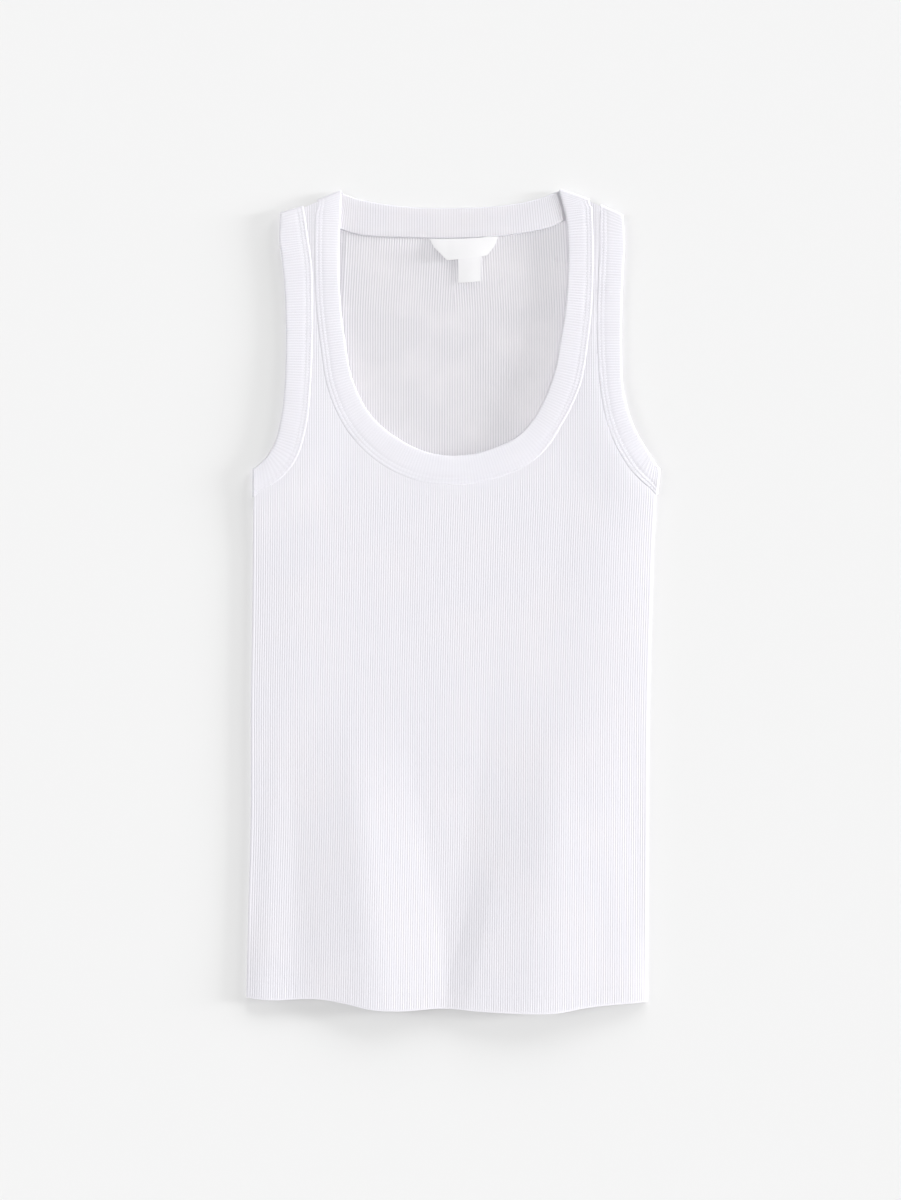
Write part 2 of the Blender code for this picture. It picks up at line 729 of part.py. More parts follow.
def back_rib_lines(edge):
    """A line along each crest and hollow of the back's ribs, from the neckband down to its edge."""
    bottom = edge[np.argmin(edge[:, 1])]
    halves = [edge[edge[:, 0] < bottom[0]], edge[edge[:, 0] >= bottom[0]][::-1]]
    lines = []
    for half_rib in range(-NECK_HALF_RIBS, NECK_HALF_RIBS + 1):
        across = half_rib * BACK_RIB_PITCH / 2
        half = halves[0] if across < bottom[0] else halves[1]
        low_end = np.interp(abs(across), np.abs(half[::-1, 0]), half[::-1, 1]) - NECK_REACH
        rows = [up for up in BACK_NECK_ROWS if up > low_end + 2 * NECK_REACH]
        ups = np.array([BACK_NECK_TOP, *rows, low_end])
        lines.append(np.c_[across - lean_at(across, ups), ups])
    return lines


# --- Rings ----------------------------------------------------------------------------------
def neckband(paths, material):
    edge, seam = paths["neck"]
    low = FRONT_LOW + (OVER_BAND - FRONT_LOW) * ramp(edge[:, 1], *NECKBAND_RISE)
    front = flat_sections(edge, seam, low, 1, outer_ribs=RIBS_PER_SECTION)
    front[-1] = front[-1]._replace(outer_ribs=0)
    back_edge, back_seam = paths["back_neck"]
    back = flat_sections(
        back_edge, back_seam, [BAND] * len(back_edge), -1, inner_ribs=RIBS_PER_SECTION
    )
    back[-1] = back[-1]._replace(inner_ribs=0)
    right = folded_sections(edge[-1], seam[-1], np.array((0.0, 1.0)), 1)
    left = folded_sections(edge[0], seam[0], np.array((0.0, 1.0)), -1)
    under_right = flat_sections(edge[-1:], seam[-1:], [BAND], -1)
    under_left = flat_sections(edge[:1], seam[:1], [BAND], -1)
    sections = front + right + under_right + back + under_left + left
    return make_ring("neckband", sections, material)


def armhole_band(name, path, outward, material):
    edge, seam = path
    front = flat_sections(edge, seam, [OVER_BAND] * len(edge), 1, outer_ribs=RIBS_PER_SECTION)
    front[-1] = front[-1]._replace(outer_ribs=0)
    hidden_edge = edge + unit(seam - edge) * HIDDEN_EDGE_INSET
    hidden_edge[0], hidden_edge[-1] = edge[0], edge[-1]
    back = flat_sections(hidden_edge[::-1], seam[::-1], [BAND] * len(edge), -1)
    side = folded_sections(edge[-1], seam[-1], np.array(outward), 1)
    shoulder = folded_sections(edge[0], seam[0], np.array((0.0, 1.0)), -1)
    return make_ring(name, front + side + back + shoulder, material)


def plate(name, rows, material):
    """A woven piece that lies on the back, as sections from left to right.

    Its upper edge is sewn down at the neckband's seam, and its lower edge stands off the back.
    """
    rest = CLOTH + RIB_HEIGHT + SEAM_GAP
    vertices, faces = [], []
    for row in rows:
        low, high = rest + row.lift, rest + LABEL_EDGE_LIFT * row.lift
        for up, height in (
            (row.low_edge, low),
            (row.high_edge, high),
            (row.high_edge, high + LABEL_THICK),
            (row.low_edge, low + LABEL_THICK),
        ):
            vertices.append((row.across, up, height))
    for i in range(len(rows) - 1):
        for k in range(4):
            a, b = 4 * i + k, 4 * i + (k + 1) % 4
            faces.append((a, b, b + 4, a + 4))
    last = 4 * (len(rows) - 1)
    faces += [(3, 2, 1, 0), (last, last + 1, last + 2, last + 3)]
    return make_object(name, vertices, faces, material)


# --- Objects and materials ------------------------------------------------------------------
def make_material(name, colour, roughness):
    material = bpy.data.materials.new(name)
    material.use_nodes = True
    shader = material.node_tree.nodes["Principled BSDF"]
    shader.inputs["Base Color"].default_value = colour
    shader.inputs["Roughness"].default_value = roughness
    shader.inputs["Metallic"].default_value = 0.0
    return material


def make_object(name, vertices, faces, material):
    """An object from points in millimetres, with its faces turned outwards."""
    mesh = bpy.data.meshes.new(name)
    mesh.from_pydata([tuple(METRES * float(c) for c in v) for v in vertices], [], faces)
    shape = bmesh.new()
    shape.from_mesh(mesh)
    unused = [vertex for vertex in shape.verts if not vertex.link_faces]
    bmesh.ops.delete(shape, geom=unused, context="VERTS")
    bmesh.ops.triangulate(shape, faces=shape.faces)
    bmesh.ops.recalc_face_normals(shape, faces=shape.faces)
    if shape.calc_volume(signed=True) < 0:
        bmesh.ops.reverse_faces(shape, faces=shape.faces)
    shape.to_mesh(mesh)
    shape.free()
    mesh.materials.append(material)
    made = bpy.data.objects.new(name, mesh)
    bpy.context.scene.collection.objects.link(made)
    return made


def centre(objects):
    """Moves the garment so that its box is centred on the origin in plan."""
    corners = np.array([v.co for made in objects for v in made.data.vertices])
    shift = -(corners.min(axis=0) + corners.max(axis=0))[:2] / 2
    for made in objects:
        for vertex in made.data.vertices:
            vertex.co.x += shift[0]
            vertex.co.y += shift[1]


def band_paths():
    """Folded edge and seam of every band, in plan."""
    back = np.array(NECK_BACK)
    knots = lengths(back[:, 2:])
    count = round(knots[-1] / (RIBS_PER_SECTION * BAND_RIB_PITCH))
    back = smooth(knots, back, np.linspace(0, knots[-1], count + 1))
    return {
        "neck": band_path(NECK_FRONT, SHOULDER_LEFT, SHOULDER_RIGHT, 1),
        "left": band_path(ARMHOLE_LEFT, SHOULDER_LEFT_ARM, UNDERARM_LEFT, -1),
        "right": band_path(ARMHOLE_RIGHT, SHOULDER_RIGHT_ARM, UNDERARM_RIGHT, 1),
        "back_neck": (back[:, :2], back[:, 2:]),
    }


def main():
    for old in list(bpy.data.objects):
        bpy.data.objects.remove(old, do_unlink=True)
    cloth = make_material("ribbed_jersey", CLOTH_COLOUR, CLOTH_ROUGHNESS)
    inside = make_material("ribbed_jersey_back", CLOTH_COLOUR, CLOTH_ROUGHNESS)
    trim = [
        make_material(f"{part}_rib", BAND_COLOUR, CLOTH_ROUGHNESS)
        for part in ("neckband", "armhole_left", "armhole_right")
    ]
    woven = [
        make_material(f"woven_{part}", LABEL_COLOUR, LABEL_ROUGHNESS)
        for part in ("label", "tab")
    ]
    paths = band_paths()
    centre(
        [
            front_panel(paths, cloth),
            back_panel(paths, inside),
            neckband(paths, trim[0]),
            armhole_band("armhole_band_left", paths["left"], (-1.0, 0.0), trim[1]),
            armhole_band("armhole_band_right", paths["right"], (1.0, 0.0), trim[2]),
            plate("neck_label", LABEL, woven[0]),
            plate("size_tab", TAB, woven[1]),
        ]
    )


main()
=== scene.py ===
"""Looks of a ribbed tank top that lies flat and face up on a pale floor.

Each piece of cloth is modelled as a thin shell on the form of its solid, with its ribs, needle
lines, rolled seams, folded edges and soft folds. Sizes are in millimetres, as on a pattern sheet,
and become metres when a mesh is made. +X is to the right as one looks at the front, +Y runs from
the hem to the neck, and +Z is up from the floor.
"""

import logging
import math
from dataclasses import dataclass
from enum import Enum
from typing import NamedTuple

import bpy
import numpy as np
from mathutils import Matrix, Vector
from mathutils.geometry import delaunay_2d_cdt
from mathutils.kdtree import KDTree


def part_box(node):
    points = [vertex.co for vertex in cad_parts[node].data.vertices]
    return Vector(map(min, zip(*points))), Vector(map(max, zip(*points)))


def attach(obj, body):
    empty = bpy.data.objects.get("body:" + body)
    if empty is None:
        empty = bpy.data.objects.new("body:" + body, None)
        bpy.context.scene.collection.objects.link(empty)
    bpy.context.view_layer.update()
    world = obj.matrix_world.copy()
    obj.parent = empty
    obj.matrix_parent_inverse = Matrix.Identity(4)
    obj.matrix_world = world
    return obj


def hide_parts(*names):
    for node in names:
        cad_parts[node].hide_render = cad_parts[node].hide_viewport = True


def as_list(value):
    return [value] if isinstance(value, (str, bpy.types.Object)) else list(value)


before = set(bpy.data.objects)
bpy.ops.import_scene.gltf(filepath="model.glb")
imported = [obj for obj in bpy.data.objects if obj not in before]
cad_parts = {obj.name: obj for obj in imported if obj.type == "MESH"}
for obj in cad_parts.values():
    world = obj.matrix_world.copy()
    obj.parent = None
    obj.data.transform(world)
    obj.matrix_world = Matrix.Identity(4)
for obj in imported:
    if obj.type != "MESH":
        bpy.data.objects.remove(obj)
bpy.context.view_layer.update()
LOG = logging.getLogger("tank_top")
MM = 0.001
BODY = "root"


class Facing(Enum):
    """Which way the right side of the cloth lies."""

    UP = 1
    DOWN = -1


class Side(NamedTuple):
    """Left and right edge of the body at a height."""

    up: float
    left: float
    right: float


class Hem(NamedTuple):
    """Height of the hem's edge at a place across."""

    across: float
    up: float


class BandRow(NamedTuple):
    """A band's folded edge, and its width from there to its seam."""

    across: float
    up: float
    width: float


class NeckRow(NamedTuple):
    """Folded edge and seam of the neckband's back part."""

    edge_across: float
    edge_up: float
    seam_across: float
    seam_up: float


class Fold(NamedTuple):
    """A ridge that rises from the hem and dies away further up."""

    hem_across: float
    top_across: float
    top_up: float
    height: float
    reach_left: float
    reach_right: float


class Rise(NamedTuple):
    """How far the front stands off the back beside each side edge, and how soon it gets there."""

    up: float
    left: float
    right: float
    left_reach: float
    right_reach: float


class Crease(NamedTuple):
    """A soft trough: its middle, its lean from upright, and its half length and half width."""

    across: float
    up: float
    lean: float
    length: float
    width: float
    depth: float


class PlateRow(NamedTuple):
    """A woven label's lower and upper edge at a place across, and its lower edge's lift."""

    across: float
    low_edge: float
    high_edge: float
    lift: float


class Corner(NamedTuple):
    """A point of a band's section, from its folded edge or else from its seam.

    height is over the inner face, relief is what sewing adds there, and ribs is the share of the
    rib's height that shows, below zero where the ribs point the other way.
    """

    from_edge: float | None
    from_seam: float | None
    height: float
    relief: float
    ribs: float


@dataclass(frozen=True)
class Jersey:
    """Thickness and ribs of the cloth, and how far its pieces keep apart."""

    layer: float = 1.0
    band: float = 2.0
    gap: float = 0.3
    ease: float = 0.4
    solid_rib: float = 0.22
    rib: float = 0.24
    band_rib: float = 0.12
    body_ribs: int = 176
    back_pitch: float = 2.05
    band_pitch: float = 2.08
    course: float = 1.15
    hem_depth: float = 18.5
    hem_step: float = 0.8
    lines_per_rib: int = 4

    @property
    def front_low(self) -> float:
        """Underside of the front where it lies on the back."""
        return self.layer + self.solid_rib + self.gap

    @property
    def over_band(self) -> float:
        """Underside of what lies on the back part of a band."""
        return self.band + self.gap


JERSEY = Jersey()
FAR = 99.0  # a distance beyond the reach of every edge's shaping


# --- Curves ---------------------------------------------------------------------------------
def smooth(knots: np.ndarray, values: np.ndarray, at: np.ndarray) -> np.ndarray:
    """Values given at rising knots, read elsewhere on a curve without kinks.

    Args:
        knots: where the values are given, rising.
        values: one value or one row for each knot.
        at: where the curve is read.

    Returns:
        The curve's values there.
    """
    knots, values, at = (np.asarray(v, float) for v in (knots, values, at))
    slopes = np.gradient(values, knots, axis=0)
    i = np.clip(np.searchsorted(knots, at, side="right") - 1, 0, len(knots) - 2)
    span = knots[i + 1] - knots[i]
    t = (at - knots[i]) / span
    if values.ndim > 1:
        span, t = span[..., None], t[..., None]
    start = (1 + 2 * t) * (1 - t) ** 2 * values[i] + t * (1 - t) ** 2 * span * slopes[i]
    end = t * t * (3 - 2 * t) * values[i + 1] - t * t * (1 - t) * span * slopes[i + 1]
    return start + end


def ramp(value: np.ndarray, low: float, high: float) -> np.ndarray:
    """0 below low, 1 above high, and an eased rise between them."""
    t = np.clip((value - low) / (high - low), 0, 1)
    return t * t * (3 - 2 * t)


def even_flank(value: np.ndarray, eased: float = 0.17) -> np.ndarray:
    """0 at 0, 1 at 1 and an even rise between them, eased at both ends."""
    t = np.clip(value, 0, 1)
    foot, top = t * t / (2 * eased), 1 - eased - (1 - t) ** 2 / (2 * eased)
    rise = np.where(t < eased, foot, np.where(t > 1 - eased, top, t - eased / 2))
    return rise / (1 - eased)


def lengths(points: np.ndarray) -> np.ndarray:
    """Distance along a run of points, from its start."""
    return np.r_[0, np.cumsum(np.linalg.norm(np.diff(points, axis=0), axis=1))]


def unit(vectors: np.ndarray) -> np.ndarray:
    """The same directions with a length of one."""
    return vectors / np.linalg.norm(vectors, axis=-1, keepdims=True)


def rib_shape(phase: np.ndarray) -> np.ndarray:
    """Height of a rib from 0 to 1: a broad round crest at whole phases, a narrow hollow between."""
    return 1 - np.abs(np.sin(np.pi * phase)) ** 3


def distance_to(points: np.ndarray, line: np.ndarray, step: float = 0.8) -> np.ndarray:
    """Distance of points from a run of points, in plan.

    Args:
        points: places in plan.
        line: the run, whose own points may be far apart.
        step: spacing at which the run is measured.

    Returns:
        One distance for each point.
    """
    run = lengths(line)
    at = np.linspace(0, run[-1], max(2, int(run[-1] / step)))
    dense = np.stack([np.interp(at, run, column) for column in line.T], axis=1)
    tree = KDTree(len(dense))
    for i, (across, up) in enumerate(dense):
        tree.insert((across, up, 0.0), i)
    tree.balance()
    return np.array([tree.find((across, up, 0.0))[2] for across, up in points])


# --- Cut of the body ------------------------------------------------------------------------
@dataclass(frozen=True)
class BodyCut:
    """Outline of the body as it lies, and where its ribs run."""

    sides: tuple[Side, ...] = (
        Side(84, -160.2, 161.8),
        Side(50, -160.4, 159.9),
        Side(0, -160.8, 158.2),
        Side(-80, -162.0, 156.0),
        Side(-176, -162.2, 155.2),
        Side(-250, -164.2, 154.8),
        Side(-334, -166.0, 154.4),
    )
    hem: tuple[Hem, ...] = (
        Hem(-166, -317.4),
        Hem(-154, -319.2),
        Hem(-104, -319.2),
        Hem(-86, -322.4),
        Hem(-66, -327.0),
        Hem(-46, -328.2),
        Hem(-4, -326.2),
        Hem(20, -328.4),
        Hem(50, -330.0),
        Hem(84, -329.6),
        Hem(104, -326.0),
        Hem(154.8, -321.2),
    )
    strap_left: tuple[tuple[float, float], ...] = ((-108.4, 320.0), (-120.6, 315.4))
    strap_right: tuple[tuple[float, float], ...] = ((109.4, 320.6), (117.4, 317.0))
    hem_level: float = -330.0
    sides_top: float = 100.0
    straps_from: float = 200.0
    above: float = 340.0
    past_edge: float = 4.0
    hem_points: int = 120
    side_points: int = 40

    def side_at(self, up: np.ndarray) -> tuple[np.ndarray, np.ndarray]:
        """Left and right edge of the body at a height."""
        rows = sorted(self.sides)
        knots = [row.up for row in rows]
        within = np.clip(up, knots[0], knots[-1])
        left = smooth(knots, [row.left for row in rows], within)
        return left, smooth(knots, [row.right for row in rows], within)

    def hem_at(self, across: np.ndarray) -> np.ndarray:
        """Height of the hem's edge at a place across."""
        knots = [row.across for row in self.hem]
        return smooth(knots, [row.up for row in self.hem], np.clip(across, knots[0], knots[-1]))

    def rib_across(self, place: np.ndarray, up: np.ndarray) -> np.ndarray:
        """Where a rib at a place from -1, the left edge, to 1, the right, runs at a height."""
        left, right = self.side_at(np.minimum(up, self.sides[0].up))
        return (left + right) / 2 + place * (right - left) / 2

    def body_place(self, across: np.ndarray, up: np.ndarray) -> np.ndarray:
        """The reverse of rib_across."""
        left, right = self.side_at(np.minimum(up, self.sides[0].up))
        return (across - (left + right) / 2) / ((right - left) / 2)

    def from_strap_end(self, strap: tuple[tuple[float, float], ...], points: np.ndarray) -> np.ndarray:
        """Distance of points from a strap's end, down into the garment."""
        inner, outer = np.array(strap)
        along = unit(outer - inner)
        normal = np.array((along[1], -along[0]))
        return (points - inner) @ (normal if normal[1] < 0 else -normal)

    def from_strap_ends(self, across: np.ndarray, up: np.ndarray) -> np.ndarray:
        """Distance to the nearer strap's end, for places on the straps."""
        distance = np.full(len(across), FAR)
        for strap in (self.strap_left, self.strap_right):
            away = self.from_strap_end(strap, np.c_[across, up])
            near = (up > self.straps_from) & (np.sign(across) == np.sign(strap[0][0]))
            distance = np.where(near, np.minimum(distance, away), distance)
        return np.maximum(distance, 0.0)

    def from_turned_edge(self, across: np.ndarray, up: np.ndarray) -> np.ndarray:
        """Distance to the nearest edge where the front turns down: the sides and the shoulders."""
        left, right = self.side_at(up)
        sides = np.where(up < self.sides_top, np.minimum(across - left, right - across), FAR)
        return np.maximum(np.minimum(sides, self.from_strap_ends(across, up)), 0.0)

    def side_lines(self, inset: float) -> list[np.ndarray]:
        """Lines along both sides of the body, a distance inside its edges."""
        up = np.linspace(self.hem_level - self.past_edge, self.sides_top + self.past_edge, 60)
        left, right = self.side_at(up)
        return [np.c_[left + inset, up], np.c_[right - inset, up]]

    def strap_lines(self, inset: float) -> list[np.ndarray]:
        """Lines across both strap ends, a distance inside them, run past the strap's edges."""
        lines = []
        for strap in (self.strap_left, self.strap_right):
            inner, outer = np.array(strap)
            along = unit(outer - inner)
            inward = np.array((along[1], -along[0]))
            inward = (inward if inward[1] < 0 else -inward) * inset
            run = along * self.past_edge
            lines.append(np.array((inner + inward - run, outer + inward + run)))
        return lines

    def hem_line(self, step: float, count: int = 120) -> np.ndarray:
        """A line along the hem, a distance up from its edge."""
        reach = self.past_edge
        across = np.linspace(self.hem[0].across - reach, self.hem[-1].across + reach, count)
        return np.c_[across, self.hem_at(across) + step]


@dataclass(frozen=True)
class BandCut:
    """One run of a folded band, from its first fold to its last.

    start_line and end_line are the directions across the band at those folds, and body_side is 1
    where the body lies to the right of the band as it runs, else -1.
    """

    rows: tuple[BandRow, ...]
    start_line: tuple[float, float]
    end_line: tuple[float, float]
    body_side: int
    turn: float = 26.0
    ribs_per_section: int = 3
    fine_steps: int = 900

    def path(self, jersey: Jersey) -> tuple[np.ndarray, np.ndarray]:
        """Folded edge and seam, a quarter of a rib at a time, in plan.

        Args:
            jersey: the cloth, for the pitch of its ribs.

        Returns:
            The points of the folded edge and those of the seam.
        """
        knots = lengths(np.array([(row.across, row.up) for row in self.rows]))
        fine = smooth(knots, self.rows, np.linspace(0, knots[-1], self.fine_steps))
        run = lengths(fine[:, :2])
        sections = round(run[-1] / (self.ribs_per_section * jersey.band_pitch))
        count = sections * self.ribs_per_section * jersey.lines_per_rib
        at = np.linspace(0, run[-1], count + 1)
        tangents = unit(np.gradient(fine[:, :2], run, axis=0))
        table = np.c_[fine, tangents]
        table = np.stack([np.interp(at, run, column) for column in table.T], axis=1)
        across = np.c_[table[:, 4], -table[:, 3]] * self.body_side
        near_start = 1 - ramp(at[:, None], 0, self.turn)
        near_end = ramp(at[:, None], run[-1] - self.turn, run[-1])
        across = across * (1 - near_start) + np.array(self.start_line) * near_start
        across = across * (1 - near_end) + np.array(self.end_line) * near_end
        edge = table[:, :2]
        return edge, edge + unit(across) * table[:, 2:3]


NECK_FRONT = BandCut(
    rows=(
        BandRow(-89.3, 326.0, 20.3),
        BandRow(-91.0, 276.0, 19.6),
        BandRow(-90.2, 240.0, 19.5),
        BandRow(-86.0, 204.0, 19.8),
        BandRow(-80.0, 174.4, 20.8),
        BandRow(-66.0, 148.0, 22.4),
        BandRow(-42.8, 128.2, 24.2),
        BandRow(-18.0, 117.4, 23.6),
        BandRow(4.0, 115.4, 22.6),
        BandRow(29.0, 120.4, 23.2),
        BandRow(53.2, 132.8, 22.8),
        BandRow(69.2, 154.0, 21.6),
        BandRow(78.6, 176.4, 22.6),
        BandRow(85.4, 209.0, 21.8),
        BandRow(90.2, 246.0, 20.6),
        BandRow(91.4, 276.0, 20.0),
        BandRow(90.0, 304.0, 20.8),
        BandRow(84.4, 327.0, 25.0),
    ),
    start_line=(-0.926, -0.378),
    end_line=(0.947, -0.322),
    body_side=1,
)
ARMHOLE_LEFT = BandCut(
    rows=(
        BandRow(-138.6, 308.0, 19.2),
        BandRow(-139.4, 288.0, 22.8),
        BandRow(-136.8, 268.0, 23.0),
        BandRow(-134.6, 240.0, 21.8),
        BandRow(-134.0, 208.0, 21.0),
        BandRow(-134.8, 176.0, 20.6),
        BandRow(-138.2, 144.0, 20.8),
        BandRow(-144.6, 122.0, 20.8),
        BandRow(-152.4, 111.2, 21.0),
        BandRow(-159.0, 105.4, 22.6),
    ),
    start_line=(0.963, 0.270),
    end_line=(0.0, -1.0),
    body_side=-1,
)
ARMHOLE_RIGHT = BandCut(
    rows=(
        BandRow(135.5, 305.9, 20.3),
        BandRow(136.9, 288.0, 20.0),
        BandRow(135.6, 262.0, 19.6),
        BandRow(134.6, 232.0, 19.6),
        BandRow(134.5, 196.0, 19.0),
        BandRow(135.6, 170.0, 18.0),
        BandRow(139.6, 152.0, 18.8),
        BandRow(146.8, 133.6, 19.6),
        BandRow(154.8, 120.0, 20.2),
        BandRow(163.8, 105.8, 21.6),
    ),
    start_line=(-0.906, 0.424),
    end_line=(-0.107, -0.994),
    body_side=1,
)
# The neckband's back part, from the right shoulder to the left one.
NECK_BACK = (
    NeckRow(83.6, 326.6, 104.6, 309.4),
    NeckRow(81.4, 326.0, 91.0, 304.6),
    NeckRow(72.6, 322.4, 76.0, 298.4),
    NeckRow(57.0, 318.2, 59.0, 294.4),
    NeckRow(36.0, 315.2, 36.6, 291.4),
    NeckRow(0.0, 313.6, 0.0, 289.7),
    NeckRow(-36.0, 314.4, -36.0, 290.2),
    NeckRow(-58.0, 317.0, -58.4, 290.8),
    NeckRow(-76.0, 320.6, -77.0, 292.8),
    NeckRow(-86.0, 324.0, -90.4, 297.0),
    NeckRow(-88.0, 325.0, -100.6, 302.6),
    NeckRow(-88.8, 325.5, -106.6, 310.0),
)


@dataclass(frozen=True)
class Pattern:
    """The cut of the whole garment: folded edge and seam of each band, round one body."""

    cut: BodyCut
    neck: tuple[np.ndarray, np.ndarray]
    left: tuple[np.ndarray, np.ndarray]
    right: tuple[np.ndarray, np.ndarray]
    back_neck: tuple[np.ndarray, np.ndarray]

    @classmethod
    def drafted(cls) -> "Pattern":
        """The pattern from the tables above."""
        back = np.array(NECK_BACK)
        knots = lengths(back[:, 2:])
        count = round(knots[-1] / (NECK_FRONT.ribs_per_section * JERSEY.band_pitch))
        count *= NECK_FRONT.ribs_per_section * JERSEY.lines_per_rib
        back = smooth(knots, back, np.linspace(0, knots[-1], count + 1))
        return cls(
            cut=BodyCut(),
            neck=NECK_FRONT.path(JERSEY),
            left=ARMHOLE_LEFT.path(JERSEY),
            right=ARMHOLE_RIGHT.path(JERSEY),
            back_neck=(back[:, :2], back[:, 2:]),
        )

    def outline(self, neck: np.ndarray, inset: float, hem_shorter: float) -> np.ndarray:
        """Outline of a panel: hem, right side, armhole, shoulder, neck, shoulder, armhole, side.

        Args:
            neck: the panel's own edge at the neckband, from right to left.
            inset: how far the side edges and shoulder ends lie inside the garment's outline.
            hem_shorter: how much higher than the front's edge the hem lies.

        Returns:
            The outline's points, in plan.
        """
        cut = self.cut
        first = cut.side_at(cut.hem[0].up)[0] + inset
        last = cut.side_at(cut.hem[-1].up)[1] - inset
        across = np.linspace(first, last, cut.hem_points)
        hem = np.c_[across, cut.hem_at(across) + hem_shorter]
        right_arm, left_arm = self.panel_edge(self.right), self.panel_edge(self.left)
        left, right = cut.side_at(left_arm[-1, 1]), cut.side_at(right_arm[-1, 1])
        right_arm = cut_where(right_arm, right[1] - right_arm[:, 0], inset)
        left_arm = cut_where(left_arm, left_arm[:, 0] - left[0], inset)
        up_right = np.linspace(hem[-1, 1], right_arm[-1, 1], cut.side_points)[1:-1]
        up_left = np.linspace(left_arm[-1, 1], hem[0, 1], cut.side_points)[1:-1]
        right_side = np.c_[cut.side_at(up_right)[1] - inset, up_right]
        left_side = np.c_[cut.side_at(up_left)[0] + inset, up_left]
        right_arm = self.below_strap_end(right_arm[::-1], cut.strap_right, inset)
        left_arm = self.below_strap_end(left_arm[::-1], cut.strap_left, inset)[::-1]
        half = len(neck) // 2
        right_neck = self.below_strap_end(neck[:half][::-1], cut.strap_right, inset)[::-1]
        left_neck = self.below_strap_end(neck[half:], cut.strap_left, inset)
        return np.vstack([hem, right_side, right_arm, right_neck, left_neck, left_arm, left_side])

    def below_strap_end(self, line: np.ndarray, strap: tuple, inset: float) -> np.ndarray:
        """A line that runs up to a shoulder, as far as the strap's end."""
        return cut_where(line, self.cut.from_strap_end(strap, line) - inset, 0.0)

    @staticmethod
    def panel_edge(path: tuple[np.ndarray, np.ndarray], gap: float = JERSEY.gap) -> np.ndarray:
        """A panel's own edge, a gap away from a band's seam."""
        edge, seam = path
        return seam[::2] + unit(seam - edge)[::2] * gap


def cut_where(line: np.ndarray, value: np.ndarray, limit: float) -> np.ndarray:
    """A line up to where a value that falls along it passes the limit."""
    keep = int(np.argmax(value < limit)) if (value < limit).any() else len(line)
    if keep == len(line):
        return line
    share = (value[keep - 1] - limit) / (value[keep - 1] - value[keep])
    return np.vstack([line[:keep], line[keep - 1] + (line[keep] - line[keep - 1]) * share])


def rounded(distance: np.ndarray, reach: np.ndarray | float) -> np.ndarray:
    """0 at an edge, steep there and level from its reach on, where it is 1."""
    return 1 - (1 - np.clip(distance / reach, 0, 1)) ** 2


